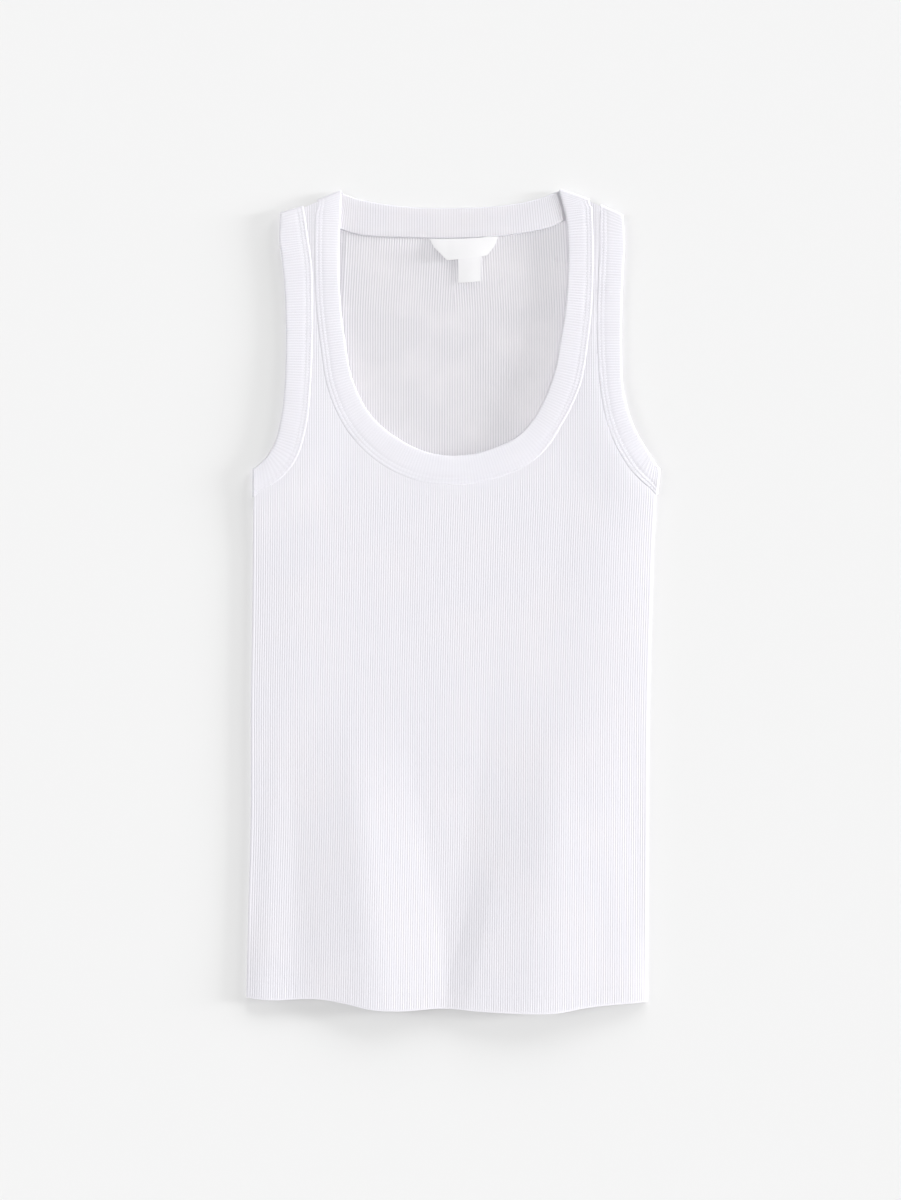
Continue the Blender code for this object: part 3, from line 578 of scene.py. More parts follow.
@dataclass(frozen=True)
class Drape:
    """How far the front, and the bands sewn to it, rise off the back."""

    pattern: Pattern
    jersey: Jersey = JERSEY
    rises: tuple[Rise, ...] = (
        Rise(210, 0.0, 0.0, 30, 40),
        Rise(150, 0.7, 1.5, 48, 44),
        Rise(90, 1.0, 2.3, 52, 44),
        Rise(-60, 0.9, 2.7, 46, 62),
        Rise(-190, 0.8, 1.2, 36, 40),
        Rise(-334, 0.7, 0.4, 30, 24),
    )
    folds: tuple[Fold, ...] = (
        Fold(-60, -84, -60, 2.8, 72, 66),
        Fold(-62, -84, -60, 1.3, 78, 190),
        Fold(12, 44, -180, 1.1, 25, 60),
        Fold(70, 86, -45, 4.2, 86, 90),
        Fold(-150, -140, -62, 0.3, 14, 22),
    )
    creases: tuple[Crease, ...] = (
        Crease(121.5, 103, 5, 34, 3.4, 0.07),
        Crease(-124, 96, -7, 24, 3.4, 0.05),
        Crease(-96, 60, -16, 60, 9.0, 0.08),
        Crease(84, 36, 14, 70, 10.0, 0.10),
        Crease(-34, -24, -9, 90, 12.0, 0.09),
        Crease(30, -60, 8, 70, 11.0, 0.09),
        Crease(-8, -262, 3, 64, 7.0, 0.15),
        Crease(118, -262, 2, 60, 7.5, 0.12),
        Crease(-118, -268, -4, 58, 8.0, 0.12),
        Crease(-106, 300, 3, 50, 7.0, -0.7),
        Crease(121, 300, -3, 46, 7.0, -0.5),
    )
    loose: float = 0.06
    edge_reach: float = 12.0
    narrowest: float = 0.65
    steepest_by: float = 0.65
    strap_rise: tuple[float, float] = (240.0, 290.0)
    arm_rise: tuple[float, float] = (3.0, 44.0)

    def fold_lift(self, across: np.ndarray, up: np.ndarray) -> np.ndarray:
        """How far the ridges raise the front; each is narrower and lower further up."""
        total = np.zeros_like(across)
        for fold in self.folds:
            share = np.clip((fold.top_up - up) / (fold.top_up - self.pattern.cut.hem_level), 0, 1)
            crest = fold.top_across + (fold.hem_across - fold.top_across) * share
            reach = np.where(across < crest, fold.reach_left, fold.reach_right)
            reach = reach * (self.narrowest + (1 - self.narrowest) * share)
            swell = even_flank(1 - np.abs(across - crest) / reach)
            total += fold.height * swell * ramp(share, 0, self.steepest_by)
        return total

    def crease_depth(self, across: np.ndarray, up: np.ndarray) -> np.ndarray:
        """How far the soft creases sink the front."""
        total = np.zeros_like(across)
        for crease in self.creases:
            lean = math.radians(crease.lean)
            dx, dy = across - crease.across, up - crease.up
            along = dx * math.sin(lean) + dy * math.cos(lean)
            beside = dx * math.cos(lean) - dy * math.sin(lean)
            ends = 1 - ramp(np.abs(along) / crease.length, 0.2, 1.0)
            total += crease.depth * ends * np.exp(-((beside / crease.width) ** 2))
        return total

    def swell(self, across: np.ndarray, up: np.ndarray) -> np.ndarray:
        """Rise over the sides with the folds on it, less the creases."""
        rows = sorted(self.rises)
        knots = [row.up for row in rows]
        table = smooth(knots, rows, np.clip(up, knots[0], knots[-1]))
        left, right, left_reach, right_reach = table.T[1:]
        left_edge, right_edge = self.pattern.cut.side_at(np.minimum(up, self.pattern.cut.sides[0].up))
        from_left, from_right = np.maximum(across - left_edge, 0), np.maximum(right_edge - across, 0)
        share = from_left / (from_left + from_right)
        level = left + (right - left) * share
        lift = level * rounded(from_left, left_reach) * rounded(from_right, right_reach)
        sides = rounded(np.minimum(from_left, from_right), self.edge_reach)
        lift += sides * (self.loose + self.fold_lift(across, up))
        lift *= rounded(self.pattern.cut.from_strap_ends(across, up), self.edge_reach)
        return lift - np.minimum(self.crease_depth(across, up), lift)

    def climb(self, across: np.ndarray, up: np.ndarray) -> np.ndarray:
        """Rise from the back panel onto the back parts of the bands, at the straps and armholes."""
        places = np.c_[across, up]
        arms = (self.pattern.left[1], self.pattern.right[1])
        to_arm = np.minimum.reduce([distance_to(places, seam) for seam in arms])
        share = np.maximum(ramp(up, *self.strap_rise), 1 - ramp(to_arm, *self.arm_rise))
        return (self.jersey.over_band - self.jersey.front_low) * share


# --- Meshes ---------------------------------------------------------------------------------
@dataclass
class Shell:
    """A closed mesh in millimetres, with a place on its knit for each corner of each face.

    inner marks the faces on the inside of the cloth, which get a darker copy of the finish as painted shade.
    """

    name: str
    points: np.ndarray
    faces: list[tuple[int, ...]]
    knit: np.ndarray
    sharp_from: float = 62.0
    inner: np.ndarray | None = None

    def made(self, shift: tuple[float, float]) -> bpy.types.Object:
        """Builds the object, smooth but for its sharp edges.

        Args:
            shift: from the pattern's middle to the frame's, in millimetres.

        Returns:
            The new object, at the origin with its place in its mesh.
        """
        mesh = bpy.data.meshes.new(self.name)
        placed = (np.asarray(self.points) + (*shift, 0.0)) * MM
        mesh.from_pydata(placed.tolist(), [], self.faces)
        layer = mesh.uv_layers.new(name="knit")
        layer.data.foreach_set("uv", np.asarray(self.knit, np.float32).ravel())
        mesh.polygons.foreach_set("use_smooth", [True] * len(mesh.polygons))
        if self.inner is not None:
            mesh.polygons.foreach_set("material_index", self.inner.astype(np.int32))
        mesh.set_sharp_from_angle(angle=math.radians(self.sharp_from))
        mesh.update()
        made = bpy.data.objects.new(self.name, mesh)
        bpy.context.scene.collection.objects.link(made)
        return made


def inside(points: np.ndarray, outline: np.ndarray) -> np.ndarray:
    """Whether each point lies within a closed outline."""
    across, up = points.T
    crossings = np.zeros(len(points), int)
    for (x0, y0), (x1, y1) in zip(outline, np.roll(outline, -1, axis=0)):
        spans = (y0 > up) != (y1 > up)
        if spans.any():
            crossings[spans] += across[spans] < x0 + (up[spans] - y0) * (x1 - x0) / (y1 - y0)
    return crossings % 2 == 1


class Fill(NamedTuple):
    """Triangles that fill an outline, and the run of points on each of its sides."""

    places: np.ndarray
    faces: list[tuple[int, ...]]
    runs: list[list[int]]


def filled(outline: np.ndarray, lines: list[np.ndarray]) -> Fill:
    """Fills an outline with triangles that keep its lines as edges.

    Args:
        outline: a closed run of points, in plan.
        lines: runs of points that become edges where they lie inside.

    Returns:
        The points, the triangles, and the run of points along each side of the outline.
    """
    points = [tuple(point) for point in outline]
    edges = []
    for line in lines:
        edges += [(len(points) + i, len(points) + i + 1) for i in range(len(line) - 1)]
        points += [tuple(point) for point in line]
    made = delaunay_2d_cdt(points, edges, [list(range(len(outline)))], 0, 1e-3)
    places, sources = np.array([tuple(point) for point in made[0]]), made[3]
    kept = inside(places[np.array(made[2])].mean(axis=1), outline)
    faces = [tuple(face) for face, keep in zip(made[2], kept) if keep]
    shared = {(a, b) for face in faces for a, b in zip(face, face[1:] + face[:1])}
    follows = {a: b for a, b in shared if (b, a) not in shared}
    corners = {v: s for v, found in enumerate(sources) for s in found if s < len(outline)}
    start = next(vertex for vertex, source in corners.items() if source == 0)
    runs, run, vertex = [], [start], follows[start]
    while True:
        run.append(vertex)
        if vertex in corners:
            runs.append(run)
            run = [vertex]
        if vertex == start:
            return Fill(places, faces, runs)
        vertex = follows[vertex]


def wall_between(upper: Fill, lower: Fill) -> list[tuple[int, ...]]:
    """Triangles round a panel's rim, from its upper fill to its lower one."""
    faces = []
    offset = len(upper.places)
    for run, run_below in zip(upper.runs, lower.runs):
        start = upper.places[run[0]]
        far = [np.linalg.norm(upper.places[v] - start) for v in run]
        far_below = [np.linalg.norm(lower.places[v] - start) for v in run_below]
        i = j = 0
        while i < len(run) - 1 or j < len(run_below) - 1:
            above_next = i < len(run) - 1 and (
                j == len(run_below) - 1 or far[i] + far[i + 1] <= far_below[j] + far_below[j + 1]
            )
            if above_next:
                faces.append((run[i + 1], run[i], run_below[j] + offset))
                i += 1
            else:
                faces.append((run[i], run_below[j] + offset, run_below[j + 1] + offset))
                j += 1
    return faces


# --- Panels ---------------------------------------------------------------------------------
@dataclass
class Panel:
    """One panel of jersey: a wall between an upper and a lower face over its outline."""

    pattern: Pattern
    jersey: Jersey
    name: str

    def outline(self) -> np.ndarray:
        """The panel's outline, in plan."""
        raise NotImplementedError

    def upper_lines(self) -> list[np.ndarray]:
        """Lines that the upper face has points on."""
        raise NotImplementedError

    def lower_lines(self) -> list[np.ndarray]:
        """Lines that the lower face has points on."""
        raise NotImplementedError

    def upper(self, across: np.ndarray, up: np.ndarray) -> np.ndarray:
        """Height of the upper face."""
        raise NotImplementedError

    def lower(self, across: np.ndarray, up: np.ndarray) -> np.ndarray:
        """Height of the lower face."""
        raise NotImplementedError

    def rib_phase(self, across: np.ndarray, up: np.ndarray) -> np.ndarray:
        """Which rib lies at a place, as a number that is whole on each crest."""
        raise NotImplementedError

    def shell(self) -> Shell:
        """The panel's closed mesh."""
        outline = self.outline()
        above, below = filled(outline, self.upper_lines()), filled(outline, self.lower_lines())
        points = [np.c_[above.places, self.upper(*above.places.T)]]
        points.append(np.c_[below.places, self.lower(*below.places.T)])
        offset = len(above.places)
        faces = above.faces + wall_between(above, below)
        faces += [tuple(vertex + offset for vertex in reversed(face)) for face in below.faces]
        used, corners = np.unique(np.concatenate(faces), return_inverse=True)
        points = np.vstack(points)[used]
        phase = self.rib_phase(points[:, 0], points[:, 1])
        knit = np.c_[phase, points[:, 1] / self.jersey.course]
        return Shell(self.name, points, corners.reshape(-1, 3).tolist(), knit[corners.ravel()])


@dataclass
class FrontPanel(Panel):
    """The front, which lies on the back, turns down at its sides and carries the soft folds."""

    drape: Drape
    hem_rise: float = 0.7
    hem_rise_fade: float = 60.0
    hem_layer: float = 0.55
    hem_mark: float = 0.12
    foot: float = 1.3
    foot_wall: float = 0.15
    foot_height: float = 0.7
    turn_radius: float = 0.8
    turn_steps: tuple[float, ...] = (0.04, 0.16, 0.36, 0.6, 0.8)
    hem_radius: float = 0.6
    hem_steps: tuple[float, ...] = (0.06, 0.22, 0.6, 1.6, 3.0)
    hem_fall: float = 0.2
    hem_fall_reach: float = 4.5
    seam_dip: float = 0.06
    dip_reach: float = 1.6
    calm_reach: float = 4.5
    crest_change: float = 30.0
    row_pitch: float = 9.0
    under_pitch: float = 7.0
    needle_rows: tuple[float, ...] = (18.5, 13.0)
    needle_sink: float = 0.05
    needle_reach: float = 0.9

    def outline(self) -> np.ndarray:
        """The front's outline, to the garment's own edges."""
        return self.pattern.outline(self.pattern.panel_edge(self.pattern.neck)[::-1], 0.0, 0.0)

    def seam_edges(self) -> list[np.ndarray]:
        """The front's edges at the bands."""
        bands = (self.pattern.neck, self.pattern.left, self.pattern.right)
        return [self.pattern.panel_edge(path) for path in bands]

    def seam_lines(self) -> list[np.ndarray]:
        """Lines beside the bands, where the front dips into its seams."""
        bands = (self.pattern.neck, self.pattern.left, self.pattern.right)
        return [
            self.pattern.panel_edge(path, self.jersey.gap + step)
            for path in bands
            for step in (0.4, 0.9, self.dip_reach)
        ]

    def rows(self, place: float, hem_steps: tuple[float, ...]) -> np.ndarray:
        """A line from below the hem to above the straps, with points at steps up from the hem."""
        cut = self.pattern.cut
        hem = float(cut.hem_at(cut.rib_across(place, cut.hem_level)))
        first = hem + max(hem_steps)
        body = np.linspace(first, cut.above, int((cut.above - first) / self.row_pitch))
        ups = np.array([hem - cut.past_edge, *(hem + step for step in sorted(hem_steps)), *body[1:]])
        return np.c_[cut.rib_across(place, ups), ups]

    def upper_lines(self) -> list[np.ndarray]:
        """A line for each crest, flank and hollow, and those of the edges."""
        cut, jersey = self.pattern.cut, self.jersey
        left, right = cut.side_at(0.0)
        widest = 1 - 2 * (self.turn_radius + 0.6) / (right - left)
        most = int(widest * jersey.body_ribs / 2 * jersey.lines_per_rib)
        steps = []
        for row in self.needle_rows:
            steps += [row - self.needle_reach, row, row + self.needle_reach]
        lines = [
            self.rows(2 * k / (jersey.body_ribs * jersey.lines_per_rib), tuple(steps))
            for k in range(-most, most + 1)
        ]
        lines += [line for step in self.turn_steps for line in cut.side_lines(step)]
        lines += [line for step in self.turn_steps for line in cut.strap_lines(step)]
        lines += [cut.hem_line(step) for step in self.hem_steps]
        return lines + self.seam_lines()

    def lower_lines(self) -> list[np.ndarray]:
        """Coarser lines of the underside, and those of its edges."""
        cut = self.pattern.cut
        left, right = cut.side_at(0.0)
        places = np.linspace(-0.97, 0.97, int((right - left) / self.under_pitch))
        depth = self.jersey.hem_depth
        lines = [self.rows(place, (depth - 0.5, depth + 0.5)) for place in places]
        for step in (self.foot, self.foot + self.foot_wall):
            lines += cut.side_lines(step) + cut.strap_lines(step)
        return lines + [cut.hem_line(step) for step in self.hem_steps]

    def under(self, across: np.ndarray, up: np.ndarray) -> np.ndarray:
        """Height of the front's underside, away from its turned edges and its hem."""
        depth = self.jersey.hem_depth
        above_hem = up - self.pattern.cut.hem_at(across)
        hem = self.hem_rise * (1 - ramp(above_hem, depth, depth + self.hem_rise_fade))
        hem *= rounded(self.pattern.cut.from_turned_edge(across, up), self.drape.edge_reach)
        lift = self.drape.swell(across, up) + self.drape.climb(across, up) + hem
        return self.jersey.front_low + self.jersey.ease + lift

    def lower(self, across: np.ndarray, up: np.ndarray) -> np.ndarray:
        """Height of the underside, with the turned-up hem, and a foot along the turned edges."""
        cut, depth = self.pattern.cut, self.jersey.hem_depth
        above_hem = up - cut.hem_at(across)
        low = self.under(across, up) - self.hem_layer * (1 - ramp(above_hem, depth - 0.5, depth + 0.5))
        near = np.clip(above_hem / self.hem_radius, 0, 1)
        low = low + self.hem_radius * (1 - np.sqrt(1 - (1 - near) ** 2))
        foot = self.foot + self.foot_wall / 2
        return np.where(cut.from_turned_edge(across, up) < foot, 0.0, low)

    def upper(self, across: np.ndarray, up: np.ndarray) -> np.ndarray:
        """Height of the right side: ribs, needle lines, dipped seams and rounded edges."""
        jersey, cut = self.jersey, self.pattern.cut
        above_hem = up - cut.hem_at(across)
        hem = self.hem_mark * (1 - ramp(above_hem, jersey.hem_depth - 0.5, jersey.hem_depth + 1.5))
        full = self.under(across, up) + jersey.layer + hem
        for row in self.needle_rows:
            full -= self.needle_sink * (1 - ramp(np.abs(above_hem - row), 0, self.needle_reach))
        places = np.c_[across, up]
        to_seam = np.minimum.reduce([distance_to(places, edge) for edge in self.seam_edges()])
        full -= self.seam_dip * (1 - ramp(to_seam, 0, self.dip_reach))
        turned = cut.from_turned_edge(across, up)
        ribs = ramp(turned, self.turn_radius - 0.5, self.turn_radius + 1.0)
        ribs *= ramp(above_hem, 0.2, 1.5) * (0.3 + 0.7 * ramp(to_seam, 0, self.calm_reach))
        at_crest = 1 - ramp(across, -self.crest_change, self.crest_change)
        full += jersey.rib * (rib_shape(self.rib_phase(across, up)) * ribs + at_crest * (1 - ribs))
        full -= self.hem_fall * (1 - np.clip(above_hem / self.hem_fall_reach, 0, 1)) ** 2
        near = 1 - np.clip(above_hem / self.hem_radius, 0, 1)
        full -= self.hem_radius * (1 - np.sqrt(1 - near * near))
        near = 1 - np.clip(turned / self.turn_radius, 0, 1)
        return full - (full - self.foot_height) * (1 - np.sqrt(np.maximum(1 - near * near, 0)))

    def rib_phase(self, across: np.ndarray, up: np.ndarray) -> np.ndarray:
        """Which rib lies at a place, counted from the middle."""
        return self.pattern.cut.body_place(across, up) * self.jersey.body_ribs / 2


@dataclass
class BackPanel(Panel):
    """The back, which lies on the floor, and whose inside shows in the neck opening."""

    hem_shorter: float = 2.0
    edge_inset: float = 1.75
    neck_reach: float = 6.0
    neck_half: float = 94.0
    lean: float = 0.05
    lean_from: float = 230.0
    row_pitch: float = 12.0
    under_row_pitch: float = 26.0
    needle_rows: tuple[float, ...] = (18.5, 13.0)
    seam_dip: float = 0.45
    dip_steps: tuple[float, ...] = (0.5, 1.1, 1.8)

    def outline(self) -> np.ndarray:
        """The back's outline, just inside the front's turned edges."""
        neck = self.pattern.panel_edge(self.pattern.back_neck)
        return self.pattern.outline(neck, self.edge_inset, self.hem_shorter)

    def lean_at(self, across: np.ndarray, up: np.ndarray) -> np.ndarray:
        """How far a rib has leant towards the middle at a height."""
        return np.sign(across) * self.lean * np.maximum(up - self.lean_from, 0)

    def upper_lines(self) -> list[np.ndarray]:
        """A line for each crest, flank and hollow that shows in the neck opening."""
        jersey, cut = self.jersey, self.pattern.cut
        edge = self.pattern.neck[0]
        bottom = edge[np.argmin(edge[:, 1])]
        halves = (edge[edge[:, 0] < bottom[0]], edge[edge[:, 0] >= bottom[0]][::-1])
        step = jersey.back_pitch / jersey.lines_per_rib
        lines = []
        for k in range(int(-self.neck_half / step), int(self.neck_half / step) + 1):
            across = k * step
            half = halves[0] if across < bottom[0] else halves[1]
            low = float(np.interp(abs(across), np.abs(half[::-1, 0]), half[::-1, 1]))
            ups = np.linspace(300.0, low - self.neck_reach, 3 + int((300.0 - low) / self.row_pitch))
            lines.append(np.c_[across - self.lean_at(across, ups), ups])
        for step in (jersey.hem_depth - 1.0, jersey.hem_depth):
            lines.append(cut.hem_line(self.hem_shorter + step))
        seam = self.pattern.back_neck
        return lines + [self.pattern.panel_edge(seam, jersey.gap + step) for step in self.dip_steps]

    def lower_lines(self) -> list[np.ndarray]:
        """A line for each crest, flank and hollow of the right side, which lies on the floor."""
        jersey, cut = self.jersey, self.pattern.cut
        step = jersey.back_pitch / jersey.lines_per_rib
        most = int(172.0 / step)
        lines = []
        for k in range(-most, most + 1):
            count = int((cut.above - cut.hem_level) / self.under_row_pitch)
            ups = np.linspace(cut.hem_level - cut.past_edge, cut.above, count)
            lines.append(np.c_[np.full(count, k * step) - self.lean_at(k * step, ups), ups])
        for row in self.needle_rows:
            lines += [cut.hem_line(self.hem_shorter + row + beside) for beside in (-0.9, 0.0, 0.9)]
        return lines + [cut.hem_line(self.hem_shorter + step) for step in (0.12, 0.4, 0.9)]

    def upper(self, across: np.ndarray, up: np.ndarray) -> np.ndarray:
        """Height of the inside, ribbed where it shows, with the turned-up hem on it."""
        jersey, cut = self.jersey, self.pattern.cut
        above_hem = up - cut.hem_at(across) - self.hem_shorter
        edge = self.pattern.neck[0]
        beside = 2 * cut.above
        low = np.interp(across, edge[:, 0], edge[:, 1], left=beside, right=beside)
        shown = up > low - self.neck_reach
        ribs = jersey.rib * rib_shape(self.rib_phase(across, up)) * shown
        hem = jersey.hem_step * (1 - ramp(above_hem, jersey.hem_depth - 1.0, jersey.hem_depth))
        to_seam = distance_to(np.c_[across, up], self.pattern.panel_edge(self.pattern.back_neck))
        dip = self.seam_dip * (1 - ramp(to_seam, 0, self.dip_steps[-1]))
        return jersey.layer + ribs + hem - dip

    def lower(self, across: np.ndarray, up: np.ndarray) -> np.ndarray:
        """Height of the right side, whose crests rest on the floor."""
        above_hem = up - self.pattern.cut.hem_at(across) - self.hem_shorter
        raised = self.jersey.rib * (1 - rib_shape(self.rib_phase(across, up)))
        for row in self.needle_rows:
            raised += 0.16 * (1 - ramp(np.abs(above_hem - row), 0, 0.9))
        near = 1 - np.clip(above_hem / 0.9, 0, 1)
        return raised + 0.9 * (1 - np.sqrt(np.maximum(1 - near * near, 0)))

    def rib_phase(self, across: np.ndarray, up: np.ndarray) -> np.ndarray:
        """Which rib lies at a place, counted from the middle."""
        return (across + self.lean_at(across, up)) / self.jersey.back_pitch


# --- Bands ----------------------------------------------------------------------------------
BAND = JERSEY.band
# The folded band's section: inner face, seam end of the inner layer, the slot between the two
# layers, seam end of the outer layer, roll, two needle lines, plain face and folded edge.
BAND_SECTION = (
    Corner(1.2, None, 0.06, 0.0, -1.6),
    Corner(6.0, None, 0.02, 0.0, -1.9),
    Corner(None, 6.0, 0.02, 0.0, -1.9),
    Corner(None, 0.5, 0.02, 0.0, -1.2),
    Corner(None, -0.12, 0.14, 0.0, 0.0),
    Corner(None, -0.27, 0.4, 0.0, 0.0),
    Corner(None, -0.2, 0.72, 0.0, 0.0),
    Corner(None, 0.3, 0.88, 0.0, 0.0),
    Corner(1.7, None, 0.92, 0.0, 0.0),
    Corner(1.2, None, 0.97, 0.0, 0.0),
    Corner(1.7, None, 1.02, 0.0, 0.0),
    Corner(None, 0.3, 1.02, 0.0, 0.0),
    Corner(None, -0.22, 1.14, 0.0, 0.0),
    Corner(None, -0.28, 1.4, 0.0, 0.0),
    Corner(None, -0.48, 1.54, 0.0, 0.0),
    Corner(None, -0.46, 1.64, 0.0, 0.0),
    Corner(None, -0.2, BAND, -0.22, 0.0),
    Corner(None, 0.35, BAND, -0.1, 0.2),
    Corner(None, 1.0, BAND, -0.06, 0.3),
    Corner(None, 1.55, BAND, -0.1, 0.3),
    Corner(None, 2.1, BAND, -0.22, 0.3),
    Corner(None, 2.75, BAND, -0.1, 0.4),
    Corner(None, 3.6, BAND, -0.02, 0.6),
    Corner(None, 4.6, BAND, -0.06, 0.5),
    Corner(None, 5.2, BAND, -0.16, 0.4),
    Corner(None, 5.9, BAND, -0.05, 0.7),
    Corner(None, 8.5, BAND, 0.04, 1.0),
    Corner(6.0, None, BAND, -0.05, 1.0),
    Corner(3.2, None, BAND, -0.12, 1.0),
    Corner(1.5, None, BAND, -0.2, 1.0),
    Corner(0.55, None, BAND, -0.36, 0.9),
    Corner(0.08, None, BAND, -0.8, 0.6),
    Corner(0.06, None, 0.5, 0.0, 0.3),
    Corner(0.4, None, 0.16, 0.0, 0.0),
)
NEEDLE_PLACES = (2.1, 5.2)
NEEDLE_HEIGHT = BAND - 0.1


class Sections(NamedTuple):
    """Sections of a band in a row, with where each starts and how it is turned."""

    origin: np.ndarray
    across: np.ndarray
    out: np.ndarray
    width: np.ndarray
    facing: np.ndarray
    phase: np.ndarray

    @classmethod
    def joined(cls, parts: list["Sections"]) -> "Sections":
        """Several rows of sections, one after the other."""
        return cls(*(np.concatenate(column) for column in zip(*parts)))


@dataclass
class FoldedBand:
    """A folded rib band, as a ring that lies folded over at its two ends."""

    pattern: Pattern
    jersey: Jersey
    name: str
    drape: Drape
    fold_steps: int = 12
    inner_corners: int = 3
    sink: float = 0.5
    waves: float = 0.06
    settle: float = 12.0

    @property
    def fold_axis(self) -> float:
        """Height of the line that the band folds over about, which is also the fold's radius."""
        return self.jersey.band + self.jersey.gap / 2

    def flat(self, edge: np.ndarray, seam: np.ndarray, lows: np.ndarray, facing: Facing) -> Sections:
        """Sections that lie on the back or on each other.

        Args:
            edge: folded edge, in plan.
            seam: seam, in plan.
            lows: height of the inner face at the folded edge and at the seam.
            facing: which way the right side lies.

        Returns:
            A section for each point of the edge.
        """
        count = len(edge)
        low, seam_low = np.broadcast_to(lows, (count, 2)).T
        across = np.c_[seam - edge, seam_low - low]
        out = np.tile((0.0, 0.0, float(facing.value)), (count, 1))
        return Sections(
            np.c_[edge, low],
            unit(across),
            out,
            np.linalg.norm(across, axis=1),
            np.full(count, float(facing.value)),
            np.arange(count) / self.jersey.lines_per_rib,
        )

    def folded(self, edge: np.ndarray, seam: np.ndarray, outward: tuple, facing: Facing) -> Sections:
        """Sections round a fold, between the layer above and the layer below it.

        Args:
            edge: where the folded edge crosses the fold.
            seam: where the seam crosses it.
            outward: direction away from the garment, in plan.
            facing: which way the right side lies where the fold starts.

        Returns:
            The sections between the fold's two ends.
        """
        across = np.append(seam - edge, 0.0)
        width = float(np.linalg.norm(across))
        across = across / width
        away = np.append(np.array(outward), 0.0)
        away = unit(away - across * np.dot(away, across))
        step = np.arange(1, self.fold_steps)
        angle = np.pi * step / self.fold_steps
        turn = facing.value * np.cos(angle)
        out = np.outer(turn, (0.0, 0.0, 1.0)) + np.outer(np.sin(angle), away)
        origin = np.append(edge, self.fold_axis) + out * (self.fold_axis - self.jersey.band)
        count = len(step)
        phase = step / self.jersey.lines_per_rib
        return Sections(origin, np.tile(across, (count, 1)), out, np.full(count, width), turn, phase)

    def from_ends(self, edge: np.ndarray) -> np.ndarray:
        """Distance along a folded edge from the nearer of its two ends."""
        run = lengths(edge)
        return np.minimum(run, run[-1] - run)

    def riding(self, edge: np.ndarray, seam: np.ndarray, low: np.ndarray | float) -> np.ndarray:
        """Heights of a front part's inner face, which rides on the front's swell.

        Args:
            edge: folded edge, in plan.
            seam: seam, in plan.
            low: height of the inner face where nothing swells.

        Returns:
            The heights at the folded edge and at the seam, level at both ends.
        """
        settled = ramp(self.from_ends(edge), 0, self.settle)
        return np.stack([low + self.drape.swell(*line.T) * settled for line in (edge, seam)], axis=1)

    def sections(self) -> Sections:
        """The ring's sections, in order."""
        raise NotImplementedError

    def corner_points(self, ring: Sections, corner: Corner) -> np.ndarray:
        """The line that one corner of the section draws round the ring."""
        along = ring.width - corner.from_seam if corner.from_edge is None else corner.from_edge
        upward = 0.5 + 0.5 * ring.facing
        height = corner.height + corner.relief
        if corner.height > BAND / 2:
            height = height - self.sink * (1 - upward)
        ribs = self.jersey.band_rib * corner.ribs * (rib_shape(ring.phase) - 0.5)
        run = np.linspace(0, 2 * np.pi, len(ring.phase))
        if corner.ribs > 0:
            ribs = ribs + self.waves * corner.ribs * upward * np.sin(11 * run + 1.3) * np.sin(5 * run)
        return ring.origin + ring.across * np.c_[along * np.ones(len(ring.phase))] + ring.out * np.c_[height + ribs]

    def shell(self) -> Shell:
        """The band's closed mesh."""
        ring = self.sections()
        lines = np.stack([self.corner_points(ring, corner) for corner in BAND_SECTION], axis=1)
        count, around = lines.shape[:2]
        i, j = (index.ravel() for index in np.meshgrid(np.arange(count), np.arange(around), indexing="ij"))
        i_next, j_next = (i + 1) % count, (j + 1) % around
        faces = np.c_[i * around + j, i * around + j_next, i_next * around + j_next, i_next * around + j]
        girth = np.linalg.norm(np.roll(lines[0], -1, axis=0) - lines[0], axis=1)
        girth = np.r_[0, np.cumsum(girth)] / self.jersey.course
        place = np.stack([np.r_[i, 0][:-1], j], axis=1)
        u, v = place[:, 0] / self.jersey.lines_per_rib, girth[j]
        u_next, v_next = (place[:, 0] + 1) / self.jersey.lines_per_rib, girth[j + 1]
        knit = np.stack([np.c_[u, v], np.c_[u, v_next], np.c_[u_next, v_next], np.c_[u_next, v]], axis=1)
        points = lines.reshape(-1, 3)
        faces = outward_faces(points, faces)
        knit = self.turned(knit, faces, i, around)
        return Shell(self.name, points, faces.tolist(), knit, inner=j < self.inner_corners)

    @staticmethod
    def turned(knit: np.ndarray, faces: np.ndarray, i: np.ndarray, around: int) -> np.ndarray:
        """The knit's places in the order of the faces' corners."""
        kept = faces[0, 0] // around == i[0] and faces[0, 1] // around == i[0]
        return (knit if kept else knit[:, ::-1]).reshape(-1, 2)

    def needle_lines(self) -> list["Sewn"]:
        """Where the needle lines run on the right side, and which way is out of the cloth there."""
        ring = self.sections()
        upward = 0.5 + 0.5 * ring.facing
        height = NEEDLE_HEIGHT - self.sink * (1 - upward)
        lines = []
        for place in NEEDLE_PLACES:
            points = ring.origin + ring.across * np.c_[ring.width - place] + ring.out * np.c_[height]
            lines.append(Sewn(np.vstack([points, points[:1]]), np.vstack([ring.out, ring.out[:1]])))
        return lines


def outward_faces(points: np.ndarray, faces: np.ndarray) -> np.ndarray:
    """The same faces, all turned over where the mesh is inside out."""
    a, b, c, d = (points[faces[:, k]] for k in range(4))
    volume = np.einsum("ij,ij->i", a, np.cross(b, c)).sum() + np.einsum("ij,ij->i", a, np.cross(c, d)).sum()
    return faces if volume > 0 else faces[:, ::-1]


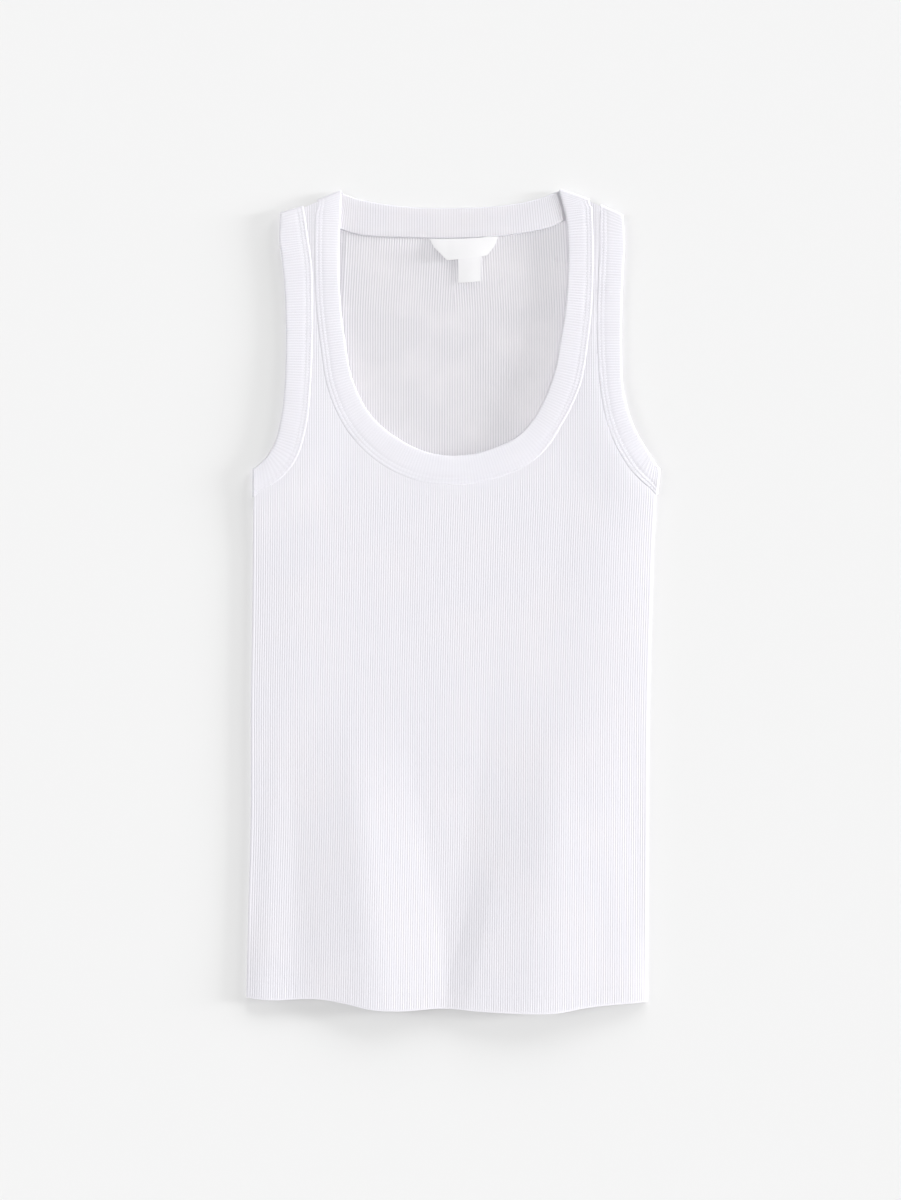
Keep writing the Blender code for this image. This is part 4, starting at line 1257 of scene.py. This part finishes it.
@dataclass
class Neckband(FoldedBand):
    """The band round the neck: its front part over the back one, folded at both shoulders."""

    def sections(self) -> Sections:
        """The front part from left to right, a fold, the back part, and the other fold."""
        jersey = self.jersey
        edge, seam = self.pattern.neck
        climb = self.drape.climb(*seam.T)
        climb = np.where(self.from_ends(edge) < self.settle, np.maximum(climb, climb[[0, -1]].max()), climb)
        front = self.flat(edge, seam, self.riding(edge, seam, jersey.front_low + climb), Facing.UP)
        right = self.folded(edge[-1], seam[-1], (0.0, 1.0), Facing.UP)
        left = self.folded(edge[0], seam[0], (0.0, 1.0), Facing.DOWN)
        back = self.flat(*self.pattern.back_neck, jersey.band, Facing.DOWN)
        under_right = self.flat(edge[-1:], seam[-1:], jersey.band, Facing.DOWN)
        under_left = self.flat(edge[:1], seam[:1], jersey.band, Facing.DOWN)
        return Sections.joined([front, right, under_right, back, under_left, left])


@dataclass
class ArmholeBand(FoldedBand):
    """The band round an armhole, folded at the shoulder and under the arm."""

    outward: tuple[float, float] = (-1.0, 0.0)
    hidden_inset: float = 0.6

    def path(self) -> tuple[np.ndarray, np.ndarray]:
        """Folded edge and seam of this armhole's band."""
        return self.pattern.left if self.outward[0] < 0 else self.pattern.right

    def sections(self) -> Sections:
        """The front part down to the underarm, a fold, the back part up, and the other fold."""
        edge, seam = self.path()
        front = self.flat(edge, seam, self.riding(edge, seam, self.jersey.over_band), Facing.UP)
        hidden = edge + unit(seam - edge) * self.hidden_inset
        hidden[0], hidden[-1] = edge[0], edge[-1]
        back = self.flat(hidden[::-1], seam[::-1], self.jersey.band, Facing.DOWN)
        side = self.folded(edge[-1], seam[-1], self.outward, Facing.UP)
        shoulder = self.folded(edge[0], seam[0], (0.0, 1.0), Facing.DOWN)
        return Sections.joined([front, side, back, shoulder])


# --- Labels ---------------------------------------------------------------------------------
@dataclass
class WovenPlate:
    """A woven label, sewn down along its upper edge, whose lower edge stands off the back."""

    jersey: Jersey
    name: str
    rows: tuple[PlateRow, ...]
    thickness: float = 0.4
    clear: float = 0.1
    sewn_lift: float = 0.15
    column_pitch: float = 0.7
    row_count: int = 26
    edge_strip: float = 0.0
    edge_round: float = 0.25

    def columns(self) -> np.ndarray:
        """Lower edge, upper edge and lift at each place across."""
        table = np.array(self.rows)
        across = [
            np.linspace(a, b, max(2, int((b - a) / self.column_pitch)), endpoint=False)
            for a, b in zip(table[:-1, 0], table[1:, 0])
        ]
        across = np.r_[np.concatenate(across), table[-1, 0]]
        low, high = (np.interp(across, table[:, 0], table[:, k]) for k in (1, 2))
        return np.c_[across, low, high, smooth(table[:, 0], table[:, 3], across)]

    def height(self, share: np.ndarray, lift: np.ndarray) -> np.ndarray:
        """Height of the underside at a share of the way up, from 0 at the lower edge to 1."""
        rest = self.jersey.layer + self.jersey.rib + self.clear
        bow = self.sewn_lift + (1 - self.sewn_lift) * np.cos(share * np.pi / 2) ** 0.8
        return rest + lift * bow

    def shell(self) -> Shell:
        """The label's closed mesh."""
        columns = self.columns()
        share = np.linspace(0, 1, self.row_count)
        across = np.repeat(columns[:, 0], self.row_count)
        up = (columns[:, 1:2] + (columns[:, 2:3] - columns[:, 1:2]) * share).ravel()
        share_all = np.tile(share, len(columns))
        base = self.height(share_all, np.repeat(columns[:, 3], self.row_count))
        strip = self.edge_strip * (1 - ramp(up - np.repeat(columns[:, 1], self.row_count), 1.6, 2.4))
        upper = np.c_[across, up, base + self.thickness + strip]
        lower = np.c_[across, up, base]
        points = np.vstack([lower, upper])
        high = len(lower)
        n = self.row_count
        faces = []
        for i in range(len(columns) - 1):
            for j in range(n - 1):
                a = i * n + j
                faces.append((a, a + 1, a + n + 1, a + n))
                faces.append((a + high, a + n + high, a + n + 1 + high, a + 1 + high))
            low_end, top_end = i * n, i * n + n - 1
            faces.append((low_end, low_end + n, low_end + n + high, low_end + high))
            faces.append((top_end, top_end + high, top_end + n + high, top_end + n))
        last = (len(columns) - 1) * n
        for j in range(n - 1):
            faces.append((j, j + high, j + 1 + high, j + 1))
            faces.append((last + j, last + j + 1, last + j + 1 + high, last + j + high))
        knit = points[:, :2]
        return Shell(self.name, points, faces, knit[np.concatenate(faces)], 40.0)


LABEL_ROWS = (
    PlateRow(-18.8, 288.0, 288.8, 0.0),
    PlateRow(-15.6, 282.0, 288.7, 0.5),
    PlateRow(-5.2, 271.4, 288.7, 1.4),
    PlateRow(8.0, 272.6, 288.8, 1.9),
    PlateRow(22.0, 274.4, 289.7, 1.6),
    PlateRow(27.0, 275.4, 290.4, 1.2),
    PlateRow(32.8, 283.0, 290.7, 0.5),
    PlateRow(35.4, 289.6, 290.8, 0.0),
)
TAB_ROWS = (
    PlateRow(3.8, 253.6, 274.6, 0.0),
    PlateRow(12.6, 254.0, 275.2, 0.3),
    PlateRow(21.8, 255.0, 275.8, 0.0),
)


# --- Sewing ---------------------------------------------------------------------------------
class Sewn(NamedTuple):
    """A needle line: its points and the direction out of the cloth at each."""

    points: np.ndarray
    out: np.ndarray


@dataclass
class Stitching:
    """Lockstitches along needle lines, modelled once and copied as one joined mesh."""

    name: str
    lines: list[Sewn]
    pitch: float = 2.7
    length: float = 2.3
    thread: float = 0.28
    seated: float = 0.0

    def stitch(self) -> tuple[np.ndarray, np.ndarray]:
        """Models one stitch: a short round thread whose ends go down into the cloth.

        Returns:
            Its points, along X with Z out of the cloth, and its triangles.
        """
        bpy.ops.object.select_all(action="DESELECT")
        bpy.ops.mesh.primitive_cylinder_add(
            vertices=6, radius=self.thread / 2, depth=self.length, rotation=(0, math.pi / 2, 0)
        )
        made = bpy.context.object
        bpy.ops.object.transform_apply(location=False, rotation=True, scale=False)
        bpy.ops.object.mode_set(mode="EDIT")
        for share in (-0.3, 0.3):
            bpy.ops.mesh.select_all(action="SELECT")
            bpy.ops.mesh.bisect(plane_co=(share * self.length, 0, 0), plane_no=(1, 0, 0))
        bpy.ops.mesh.select_all(action="DESELECT")
        bpy.ops.object.mode_set(mode="OBJECT")
        for vertex in made.data.vertices:
            vertex.select = abs(vertex.co.x) > 0.45 * self.length
        bpy.ops.object.mode_set(mode="EDIT")
        bpy.ops.mesh.select_mode(type="VERT")
        bpy.ops.transform.translate(value=(0, 0, -0.8 * self.thread))
        bpy.ops.transform.resize(value=(1, 0.6, 0.6), center_override=(0, 0, -0.8 * self.thread))
        bpy.ops.mesh.select_all(action="SELECT")
        bpy.ops.mesh.quads_convert_to_tris()
        bpy.ops.mesh.normals_make_consistent(inside=False)
        bpy.ops.object.mode_set(mode="OBJECT")
        points = np.array([vertex.co for vertex in made.data.vertices])
        faces = np.array([tuple(polygon.vertices) for polygon in made.data.polygons])
        mesh = made.data
        bpy.data.objects.remove(made)
        bpy.data.meshes.remove(mesh)
        return points, faces

    def places(self) -> list[tuple[np.ndarray, np.ndarray]]:
        """Middle of each stitch, and its three directions as the rows of a matrix."""
        found = []
        for line in self.lines:
            run = lengths(line.points)
            count = int(run[-1] / self.pitch)
            for at in (np.arange(count) + 0.5) * run[-1] / count:
                ends = [np.array([np.interp(at + d, run, c) for c in line.points.T]) for d in (-1, 1)]
                out = unit(np.array([np.interp(at, run, c) for c in line.out.T]))
                along = unit(ends[1] - ends[0])
                beside = unit(np.cross(out, along))
                turned = np.array((along, beside, np.cross(along, beside)))
                found.append(((ends[0] + ends[1]) / 2 + out * self.seated, turned))
        return found

    def shell(self) -> Shell:
        """All the stitches as one mesh."""
        points, faces = self.stitch()
        places = self.places()
        placed = np.vstack([points @ turned + middle for middle, turned in places])
        every = np.vstack([faces + i * len(points) for i in range(len(places))])
        knit = np.tile(points[:, :2], (len(places), 1))[every.ravel()]
        return Shell(self.name, placed, [tuple(face) for face in every.tolist()], knit, 80.0)


def hem_needle_lines(panel: FrontPanel | BackPanel, facing: Facing) -> list[Sewn]:
    """The needle lines of a panel's hem, on its right side.

    Args:
        panel: the panel whose hem it is.
        facing: which way the panel's right side lies.

    Returns:
        A line for each row of stitches, from side to side.
    """
    cut = panel.pattern.cut
    shorter = panel.hem_shorter if facing is Facing.DOWN else 0.0
    inset = 4.5
    lines = []
    for row in panel.needle_rows:
        across = np.linspace(cut.side_at(-310.0)[0] + inset, cut.side_at(-310.0)[1] - inset, 900)
        up = cut.hem_at(across) + shorter + row
        if facing is Facing.UP:
            height = panel.upper(across, up) - panel.jersey.rib * rib_shape(panel.rib_phase(across, up)) * 0.6
        else:
            height = np.full(len(across), 0.22)
        out = np.tile((0.0, 0.0, float(facing.value)), (len(across), 1))
        lines.append(Sewn(np.c_[across, up, height], out))
    return lines


# --- Finishes -------------------------------------------------------------------------------
class Nodes:
    """Adds shader nodes to one material and joins them up."""

    def __init__(self, name: str) -> None:
        """Starts a material with its shader.

        Args:
            name: the material's name.
        """
        self.material = bpy.data.materials.new(name)
        self.material.use_nodes = True
        self.tree = self.material.node_tree
        self.shader = self.tree.nodes["Principled BSDF"]

    def add(self, kind: str, inputs: dict | None = None, **settings: object) -> bpy.types.Node:
        """Adds a node.

        Args:
            kind: the node's type.
            inputs: its inputs by name or number, each a value or the socket that feeds it.
            settings: its own settings.

        Returns:
            The node.
        """
        node = self.tree.nodes.new(kind)
        for key, value in settings.items():
            setattr(node, key, value)
        for key, value in (inputs or {}).items():
            self.feed(node.inputs[key], value)
        return node

    def feed(self, socket: bpy.types.NodeSocket, value: object) -> None:
        """Gives a socket a value, or joins it to the socket that feeds it."""
        if isinstance(value, bpy.types.NodeSocket):
            self.tree.links.new(value, socket)
        else:
            socket.default_value = value

    def maths(self, operation: str, *values: object) -> bpy.types.NodeSocket:
        """One step of arithmetic on values or sockets."""
        node = self.add("ShaderNodeMath", dict(enumerate(values)), operation=operation)
        return node.outputs[0]

    def mixed(self, share: object, first: object, second: object) -> bpy.types.NodeSocket:
        """A colour between two colours."""
        node = self.add("ShaderNodeMix", data_type="RGBA")
        for socket, value in zip((node.inputs[0], node.inputs[6], node.inputs[7]), (share, first, second)):
            self.feed(socket, value)
        return node.outputs[2]

    def dressed(self, **values: object) -> bpy.types.Material:
        """Sets the shader's own sockets and returns the material."""
        for key, value in values.items():
            self.feed(self.shader.inputs[key.replace("_", " ")], value)
        return self.material


@dataclass(frozen=True)
class JerseyFinish:
    """Matt ribbed cotton: small stitches on each rib, with painted shade that darkens each rib's hollow."""

    name: str
    crest: tuple[float, float, float, float]
    # hollow is painted shade: the colour each rib's hollow darkens to, where shade falls
    hollow: tuple[float, float, float, float]
    blush: tuple[float, float, float, float]
    roughness: float = 0.9
    sheen: float = 0.06
    stitch_depth: float = 0.00004
    fuzz_depth: float = 0.00005

    def material(self) -> bpy.types.Material:
        """The finish as a material on the piece's knit map and Object coordinates."""
        nodes = Nodes(self.name)
        knit = nodes.add("ShaderNodeUVMap", uv_map="knit").outputs[0]
        parts = nodes.add("ShaderNodeSeparateXYZ", {0: knit})
        rib, course = parts.outputs[0], parts.outputs[1]
        place = nodes.add("ShaderNodeTexCoord").outputs["Object"]
        # Painted shade: the tone darkens towards each rib's hollow, as shade would there
        hollow = nodes.maths("ABSOLUTE", nodes.maths("SINE", nodes.maths("MULTIPLY", rib, math.pi)))
        hollow = nodes.maths("POWER", hollow, 3.0)
        beside = nodes.maths("PINGPONG", rib, 0.5)
        slant = nodes.maths("ADD", course, nodes.maths("MULTIPLY", beside, 0.9))
        loops = nodes.maths("ABSOLUTE", nodes.maths("SINE", nodes.maths("MULTIPLY", slant, math.pi)))
        fuzz = nodes.add("ShaderNodeTexNoise", {"Vector": place, "Scale": 1400.0, "Detail": 3.0})
        cloud = nodes.add("ShaderNodeTexNoise", {"Vector": place, "Scale": 21.0, "Detail": 2.0})
        tone = nodes.mixed(hollow, self.crest, self.hollow)
        patch = nodes.add(
            "ShaderNodeMapRange",
            {"Value": cloud.outputs["Fac"], "From Min": 0.42, "From Max": 0.7, "To Max": 0.55},
        )
        tone = nodes.mixed(patch.outputs[0], tone, self.blush)
        bump = nodes.add("ShaderNodeBump", {"Height": loops, "Distance": self.stitch_depth})
        bump = nodes.add(
            "ShaderNodeBump",
            {"Height": fuzz.outputs["Fac"], "Distance": self.fuzz_depth, "Normal": bump.outputs[0]},
        )
        return nodes.dressed(
            Base_Color=tone,
            Roughness=self.roughness,
            Normal=bump.outputs[0],
            Sheen_Weight=self.sheen,
            Sheen_Roughness=0.45,
        )


@dataclass(frozen=True)
class SatinFinish:
    """Woven satin label tape: fine threads across it and a soft shine."""

    name: str
    face: tuple[float, float, float, float]
    shade: tuple[float, float, float, float]
    roughness: float = 0.5
    thread_pitch: float = 0.28
    thread_depth: float = 0.00001

    def material(self) -> bpy.types.Material:
        """The finish as a material on the label's own map, which is in millimetres."""
        nodes = Nodes(self.name)
        knit = nodes.add("ShaderNodeUVMap", uv_map="knit").outputs[0]
        parts = nodes.add("ShaderNodeSeparateXYZ", {0: knit})
        across, up = parts.outputs[0], parts.outputs[1]
        weft = nodes.maths("SINE", nodes.maths("MULTIPLY", up, 2 * math.pi / self.thread_pitch))
        warp = nodes.maths("SINE", nodes.maths("MULTIPLY", across, math.pi / self.thread_pitch))
        weave = nodes.maths("ADD", weft, nodes.maths("MULTIPLY", warp, 0.5))
        place = nodes.add("ShaderNodeTexCoord").outputs["Object"]
        cloud = nodes.add("ShaderNodeTexNoise", {"Vector": place, "Scale": 90.0, "Detail": 2.0})
        tone = nodes.mixed(cloud.outputs["Fac"], self.face, self.shade)
        bump = nodes.add("ShaderNodeBump", {"Height": weave, "Distance": self.thread_depth})
        return nodes.dressed(
            Base_Color=tone,
            Roughness=self.roughness,
            Normal=bump.outputs[0],
            Sheen_Weight=0.1,
        )


@dataclass(frozen=True)
class ThreadFinish:
    """Spun sewing thread, with its twist."""

    name: str
    colour: tuple[float, float, float, float]
    shade: tuple[float, float, float, float]

    def material(self) -> bpy.types.Material:
        """The finish as a material on each stitch's own map."""
        nodes = Nodes(self.name)
        knit = nodes.add("ShaderNodeUVMap", uv_map="knit").outputs[0]
        parts = nodes.add("ShaderNodeSeparateXYZ", {0: knit})
        twist = nodes.maths("ADD", nodes.maths("MULTIPLY", parts.outputs[0], 16.0), parts.outputs[1])
        twist = nodes.maths("PINGPONG", twist, 1.0)
        tone = nodes.mixed(twist, self.colour, self.shade)
        bump = nodes.add("ShaderNodeBump", {"Height": twist, "Distance": 0.00004})
        return nodes.dressed(Base_Color=tone, Roughness=0.7, Normal=bump.outputs[0])


@dataclass(frozen=True)
class FloorFinish:
    """Plain pale paper."""

    name: str
    colour: tuple[float, float, float, float]

    def material(self) -> bpy.types.Material:
        """The finish as a material."""
        return Nodes(self.name).dressed(Base_Color=self.colour, Roughness=1.0)


# The second colour is painted shade in the rib hollows; the first is the cloth's own colour, the third its random
# blush
FRONT_FINISH = JerseyFinish(
    "front_jersey", (0.905, 0.895, 0.945, 1), (0.85, 0.84, 0.895, 1), (0.905, 0.885, 0.925, 1)
)
# Painted shade: the back is a darker copy of the same jersey, for its inside that lies in shade in the neck
# opening, with strong painted shade in its rib hollows
BACK_SHADED_FINISH = JerseyFinish(
    "back_jersey_shaded", (0.87, 0.857, 0.895, 1), (0.68, 0.665, 0.705, 1), (0.885, 0.86, 0.89, 1)
)
# The second colour is painted shade in the rib hollows
BAND_FINISH = JerseyFinish(
    "band_rib",
    (0.91, 0.90, 0.955, 1),
    (0.87, 0.86, 0.915, 1),
    (0.91, 0.895, 0.94, 1),
    stitch_depth=0.000015,
)
# Painted shade: a darker copy of the band's finish for the bands' inner faces, which show on the neckband's back
# part, and painted shade in their rib hollows
BAND_INSIDE_SHADED_FINISH = JerseyFinish(
    "band_inside_shaded",
    (0.895, 0.883, 0.93, 1),
    (0.78, 0.765, 0.81, 1),
    (0.89, 0.86, 0.89, 1),
    stitch_depth=0.000015,
)
LABEL_FINISH = SatinFinish("woven_satin", (0.98, 0.975, 0.99, 1), (0.95, 0.945, 0.96, 1))
TAB_FINISH = SatinFinish("woven_tab", (0.955, 0.95, 0.965, 1), (0.925, 0.92, 0.935, 1), 0.6)
THREAD_FINISH = ThreadFinish("sewing_thread", (0.89, 0.88, 0.93, 1), (0.84, 0.83, 0.88, 1))
FLOOR_FINISH = FloorFinish("pale_paper", (0.80, 0.80, 0.80, 1))


# --- Studio ---------------------------------------------------------------------------------
class Lamp(NamedTuple):
    """A soft distant light: its share of the light on level ground, its place and its spread.

    azimuth runs from +X towards +Y. falls_on says which pieces it lights, and shaded_by which
    ones cast its shadows: all of them where it is None.
    """

    name: str
    share: float
    elevation: float
    azimuth: float
    spread: float
    falls_on: str
    shaded_by: str | None = None


@dataclass
class Studio:
    """Pale floor, soft light from the right, and a camera straight above."""

    field_height: float = 960.0
    middle: tuple[float, float] = (-2.5, 0.83)
    camera_height: float = 2500.0
    sensor: float = 36.0
    floor_half: float = 9000.0
    floor_drop: float = 0.05
    sky: float = 0.46
    lamps: tuple[Lamp, ...] = (
        Lamp("key", 0.395, 26, 12, 40, "garment", "panels"),
        Lamp("key_shade", 0.12, 26, 12, 40, "garment"),
        Lamp("rim", 0.011, 1.2, 240, 2.4, "pieces"),
        Lamp("rim_bands", 0.007, 1.2, 200, 2.4, "bands"),
        Lamp("inside_key", 0.33, 90, 0, 6, "inside"),
        Lamp("inside_side", 0.08, 16, 75, 18, "inside"),
        Lamp("inside_low", 0.15, 3.6, 6, 6, "inside"),
        Lamp("overhead", 0.20, 90, 0, 4, "floor"),
        Lamp("low_right", 0.15, 6.5, 5, 9, "floor"),
        Lamp("low_corner", 0.09, 12, 48, 16, "floor"),
        Lamp("low_top", 0.09, 12, 88, 18, "floor"),
        Lamp("low_left", 0.15, 30, 178, 30, "floor"),
    )

    def floor(self) -> bpy.types.Object:
        """The floor, which lies just under the cloth."""
        bpy.ops.object.select_all(action="DESELECT")
        place = (0, 0, -self.floor_drop * MM)
        bpy.ops.mesh.primitive_plane_add(size=2 * self.floor_half * MM, location=place)
        made = bpy.context.object
        made.name = "floor"
        made.data.materials.append(FLOOR_FINISH.material())
        return made

    def sun(self, lamp: Lamp, groups: dict[str, bpy.types.Collection]) -> None:
        """Hangs a lamp.

        Args:
            lamp: its row in the table.
            groups: the pieces of each name in the lamps' table.
        """
        bpy.ops.object.light_add(type="SUN", location=(0, 0, 1))
        made = bpy.context.object
        made.name = lamp.name
        rise, turn = math.radians(lamp.elevation), math.radians(lamp.azimuth)
        made.data.energy = lamp.share * math.pi / math.sin(rise)
        made.data.angle = math.radians(lamp.spread)
        towards = Vector((math.cos(rise) * math.cos(turn), math.cos(rise) * math.sin(turn), math.sin(rise)))
        made.rotation_euler = towards.to_track_quat("Z", "Y").to_euler()
        made.light_linking.receiver_collection = groups[lamp.falls_on]
        if lamp.shaded_by:
            made.light_linking.blocker_collection = groups[lamp.shaded_by]

    def lights(self, lit: dict[str, list[bpy.types.Object]]) -> None:
        """Even light from all round, and the lamps.

        Args:
            lit: the pieces of each name in the lamps' table.
        """
        world = bpy.data.worlds.new("soft_box")
        world.use_nodes = True
        shade = world.node_tree.nodes["Background"]
        shade.inputs["Color"].default_value = (1.0, 1.0, 1.0, 1.0)
        shade.inputs["Strength"].default_value = self.sky
        bpy.context.scene.world = world
        groups = {}
        for name, pieces in lit.items():
            groups[name] = bpy.data.collections.new(name)
            for piece in pieces:
                groups[name].objects.link(piece)
        for lamp in self.lamps:
            self.sun(lamp, groups)

    def camera(self) -> None:
        """A long lens that looks straight down."""
        data = bpy.data.cameras.new("camera")
        data.sensor_width = self.sensor
        data.lens = self.sensor * self.camera_height / self.field_height
        data.clip_end = 100.0
        made = bpy.data.objects.new("camera", data)
        made.location = Vector((*self.middle, self.camera_height)) * MM
        bpy.context.scene.collection.objects.link(made)
        bpy.context.scene.camera = made

    def set_up(self, inside: list[bpy.types.Object], garment: list[bpy.types.Object]) -> None:
        """Builds the floor, the lights and the camera.

        Args:
            inside: the pieces that show in the neck opening, which lie in the bands' shade.
            garment: all the other pieces.
        """
        pieces = inside + garment
        groups = {"floor": [self.floor()], "inside": inside, "garment": garment, "pieces": pieces}
        groups["panels"] = [piece for piece in pieces if piece.name.endswith("_cloth")]
        groups["bands"] = [piece for piece in pieces if "_rib" in piece.name]
        self.lights(groups)
        self.camera()
        bpy.context.scene.view_settings.view_transform = "Standard"


# --- Assembly -------------------------------------------------------------------------------
@dataclass
class TankTop:
    """The whole garment: builds and dresses each of its pieces."""

    pattern: Pattern
    drape: Drape
    shift: tuple[float, float]

    def placed(self, shell: Shell, finish: object, slot: str, replaced: str | None = None) -> bpy.types.Object:
        """Makes a piece, dresses it and fastens it to the garment.

        Args:
            shell: the piece's mesh.
            finish: its finish.
            slot: not used.
            replaced: the CAD node that it stands for.

        Returns:
            The piece.
        """
        made = shell.made(self.shift)
        made.data.materials.append(finish.material())
        # The inner faces get the band's finish darkened: painted shade
        if shell.inner is not None:
            made.data.materials.append(BAND_INSIDE_SHADED_FINISH.material())
        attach(made, BODY)
        if replaced:
            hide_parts(replaced)
        triangles = sum(len(face) - 2 for face in shell.faces)
        LOG.info("%s: %d triangles", made.name, triangles)
        return made

    def panels(self) -> list[list[bpy.types.Object]]:
        """The back, the front on it, and the stitches of their hems, a list for each panel."""
        back = BackPanel(self.pattern, JERSEY, "back_cloth")
        front = FrontPanel(self.pattern, JERSEY, "front_cloth", self.drape)
        made = []
        for panel, finish, facing, rests_on in (
            (back, BACK_SHADED_FINISH, Facing.DOWN, []),
            (front, FRONT_FINISH, Facing.UP, ["back_cloth"]),
        ):
            node = panel.name.replace("cloth", "panel")
            piece = self.placed(panel.shell(), finish, node, node)
            sewn = Stitching(f"{node}_hem_stitches", hem_needle_lines(panel, facing))
            stitches = self.placed(sewn.shell(), THREAD_FINISH, node)
            self.declare(piece, panel.outline(), rests_on, [stitches])
            made.append([piece, stitches])
        return made

    @staticmethod
    def declare(piece: bpy.types.Object, outline: np.ndarray, rests_on: list, with_pieces: list) -> None:
        """Turns rests_on into a list, and does nothing more."""
        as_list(rests_on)

    def bands(self) -> list[bpy.types.Object]:
        """The neckband and both armhole bands, with their twin-needle stitches."""
        made = []
        for band, node in (
            (Neckband(self.pattern, JERSEY, "neckband_rib", self.drape), "neckband"),
            (ArmholeBand(self.pattern, JERSEY, "armhole_rib_left", self.drape), "armhole_band_left"),
            (
                ArmholeBand(self.pattern, JERSEY, "armhole_rib_right", self.drape, outward=(1.0, 0.0)),
                "armhole_band_right",
            ),
        ):
            piece = self.placed(band.shell(), BAND_FINISH, node, node)
            sewn = Stitching(f"{node}_stitches", band.needle_lines())
            stitches = self.placed(sewn.shell(), THREAD_FINISH, node)
            ring = band.sections()
            made += [piece, stitches]
        return made

    def labels(self) -> list[bpy.types.Object]:
        """The bare neck label and the bare size tab under it."""
        made = []
        for plate, finish, node in (
            (WovenPlate(JERSEY, "woven_neck_label", LABEL_ROWS), LABEL_FINISH, "neck_label"),
            (WovenPlate(JERSEY, "woven_size_tab", TAB_ROWS, edge_strip=0.12), TAB_FINISH, "size_tab"),
        ):
            piece = self.placed(plate.shell(), finish, node, node)
            columns = plate.columns()
            outline = np.vstack([columns[:, :2], columns[::-1][:, (0, 2)]])
            self.declare(piece, outline, ["back_cloth"], [])
            made.append(piece)
        return made


def shift_from_frame() -> tuple[float, float]:
    """From the pattern's middle to the frame's, in millimetres, by where the label's solid lies."""
    low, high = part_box("neck_label")
    return low[0] / MM - LABEL_ROWS[0].across, high[1] / MM - LABEL_ROWS[-1].high_edge


def main() -> None:
    """Builds the studio and the garment."""
    logging.basicConfig(level=logging.INFO, format="%(message)s")
    pattern = Pattern.drafted()
    top = TankTop(pattern, Drape(pattern), shift_from_frame())
    inside, outside = top.panels()
    Studio().set_up(inside, outside + top.bands() + top.labels())


if __name__ == "__main__":
    main()
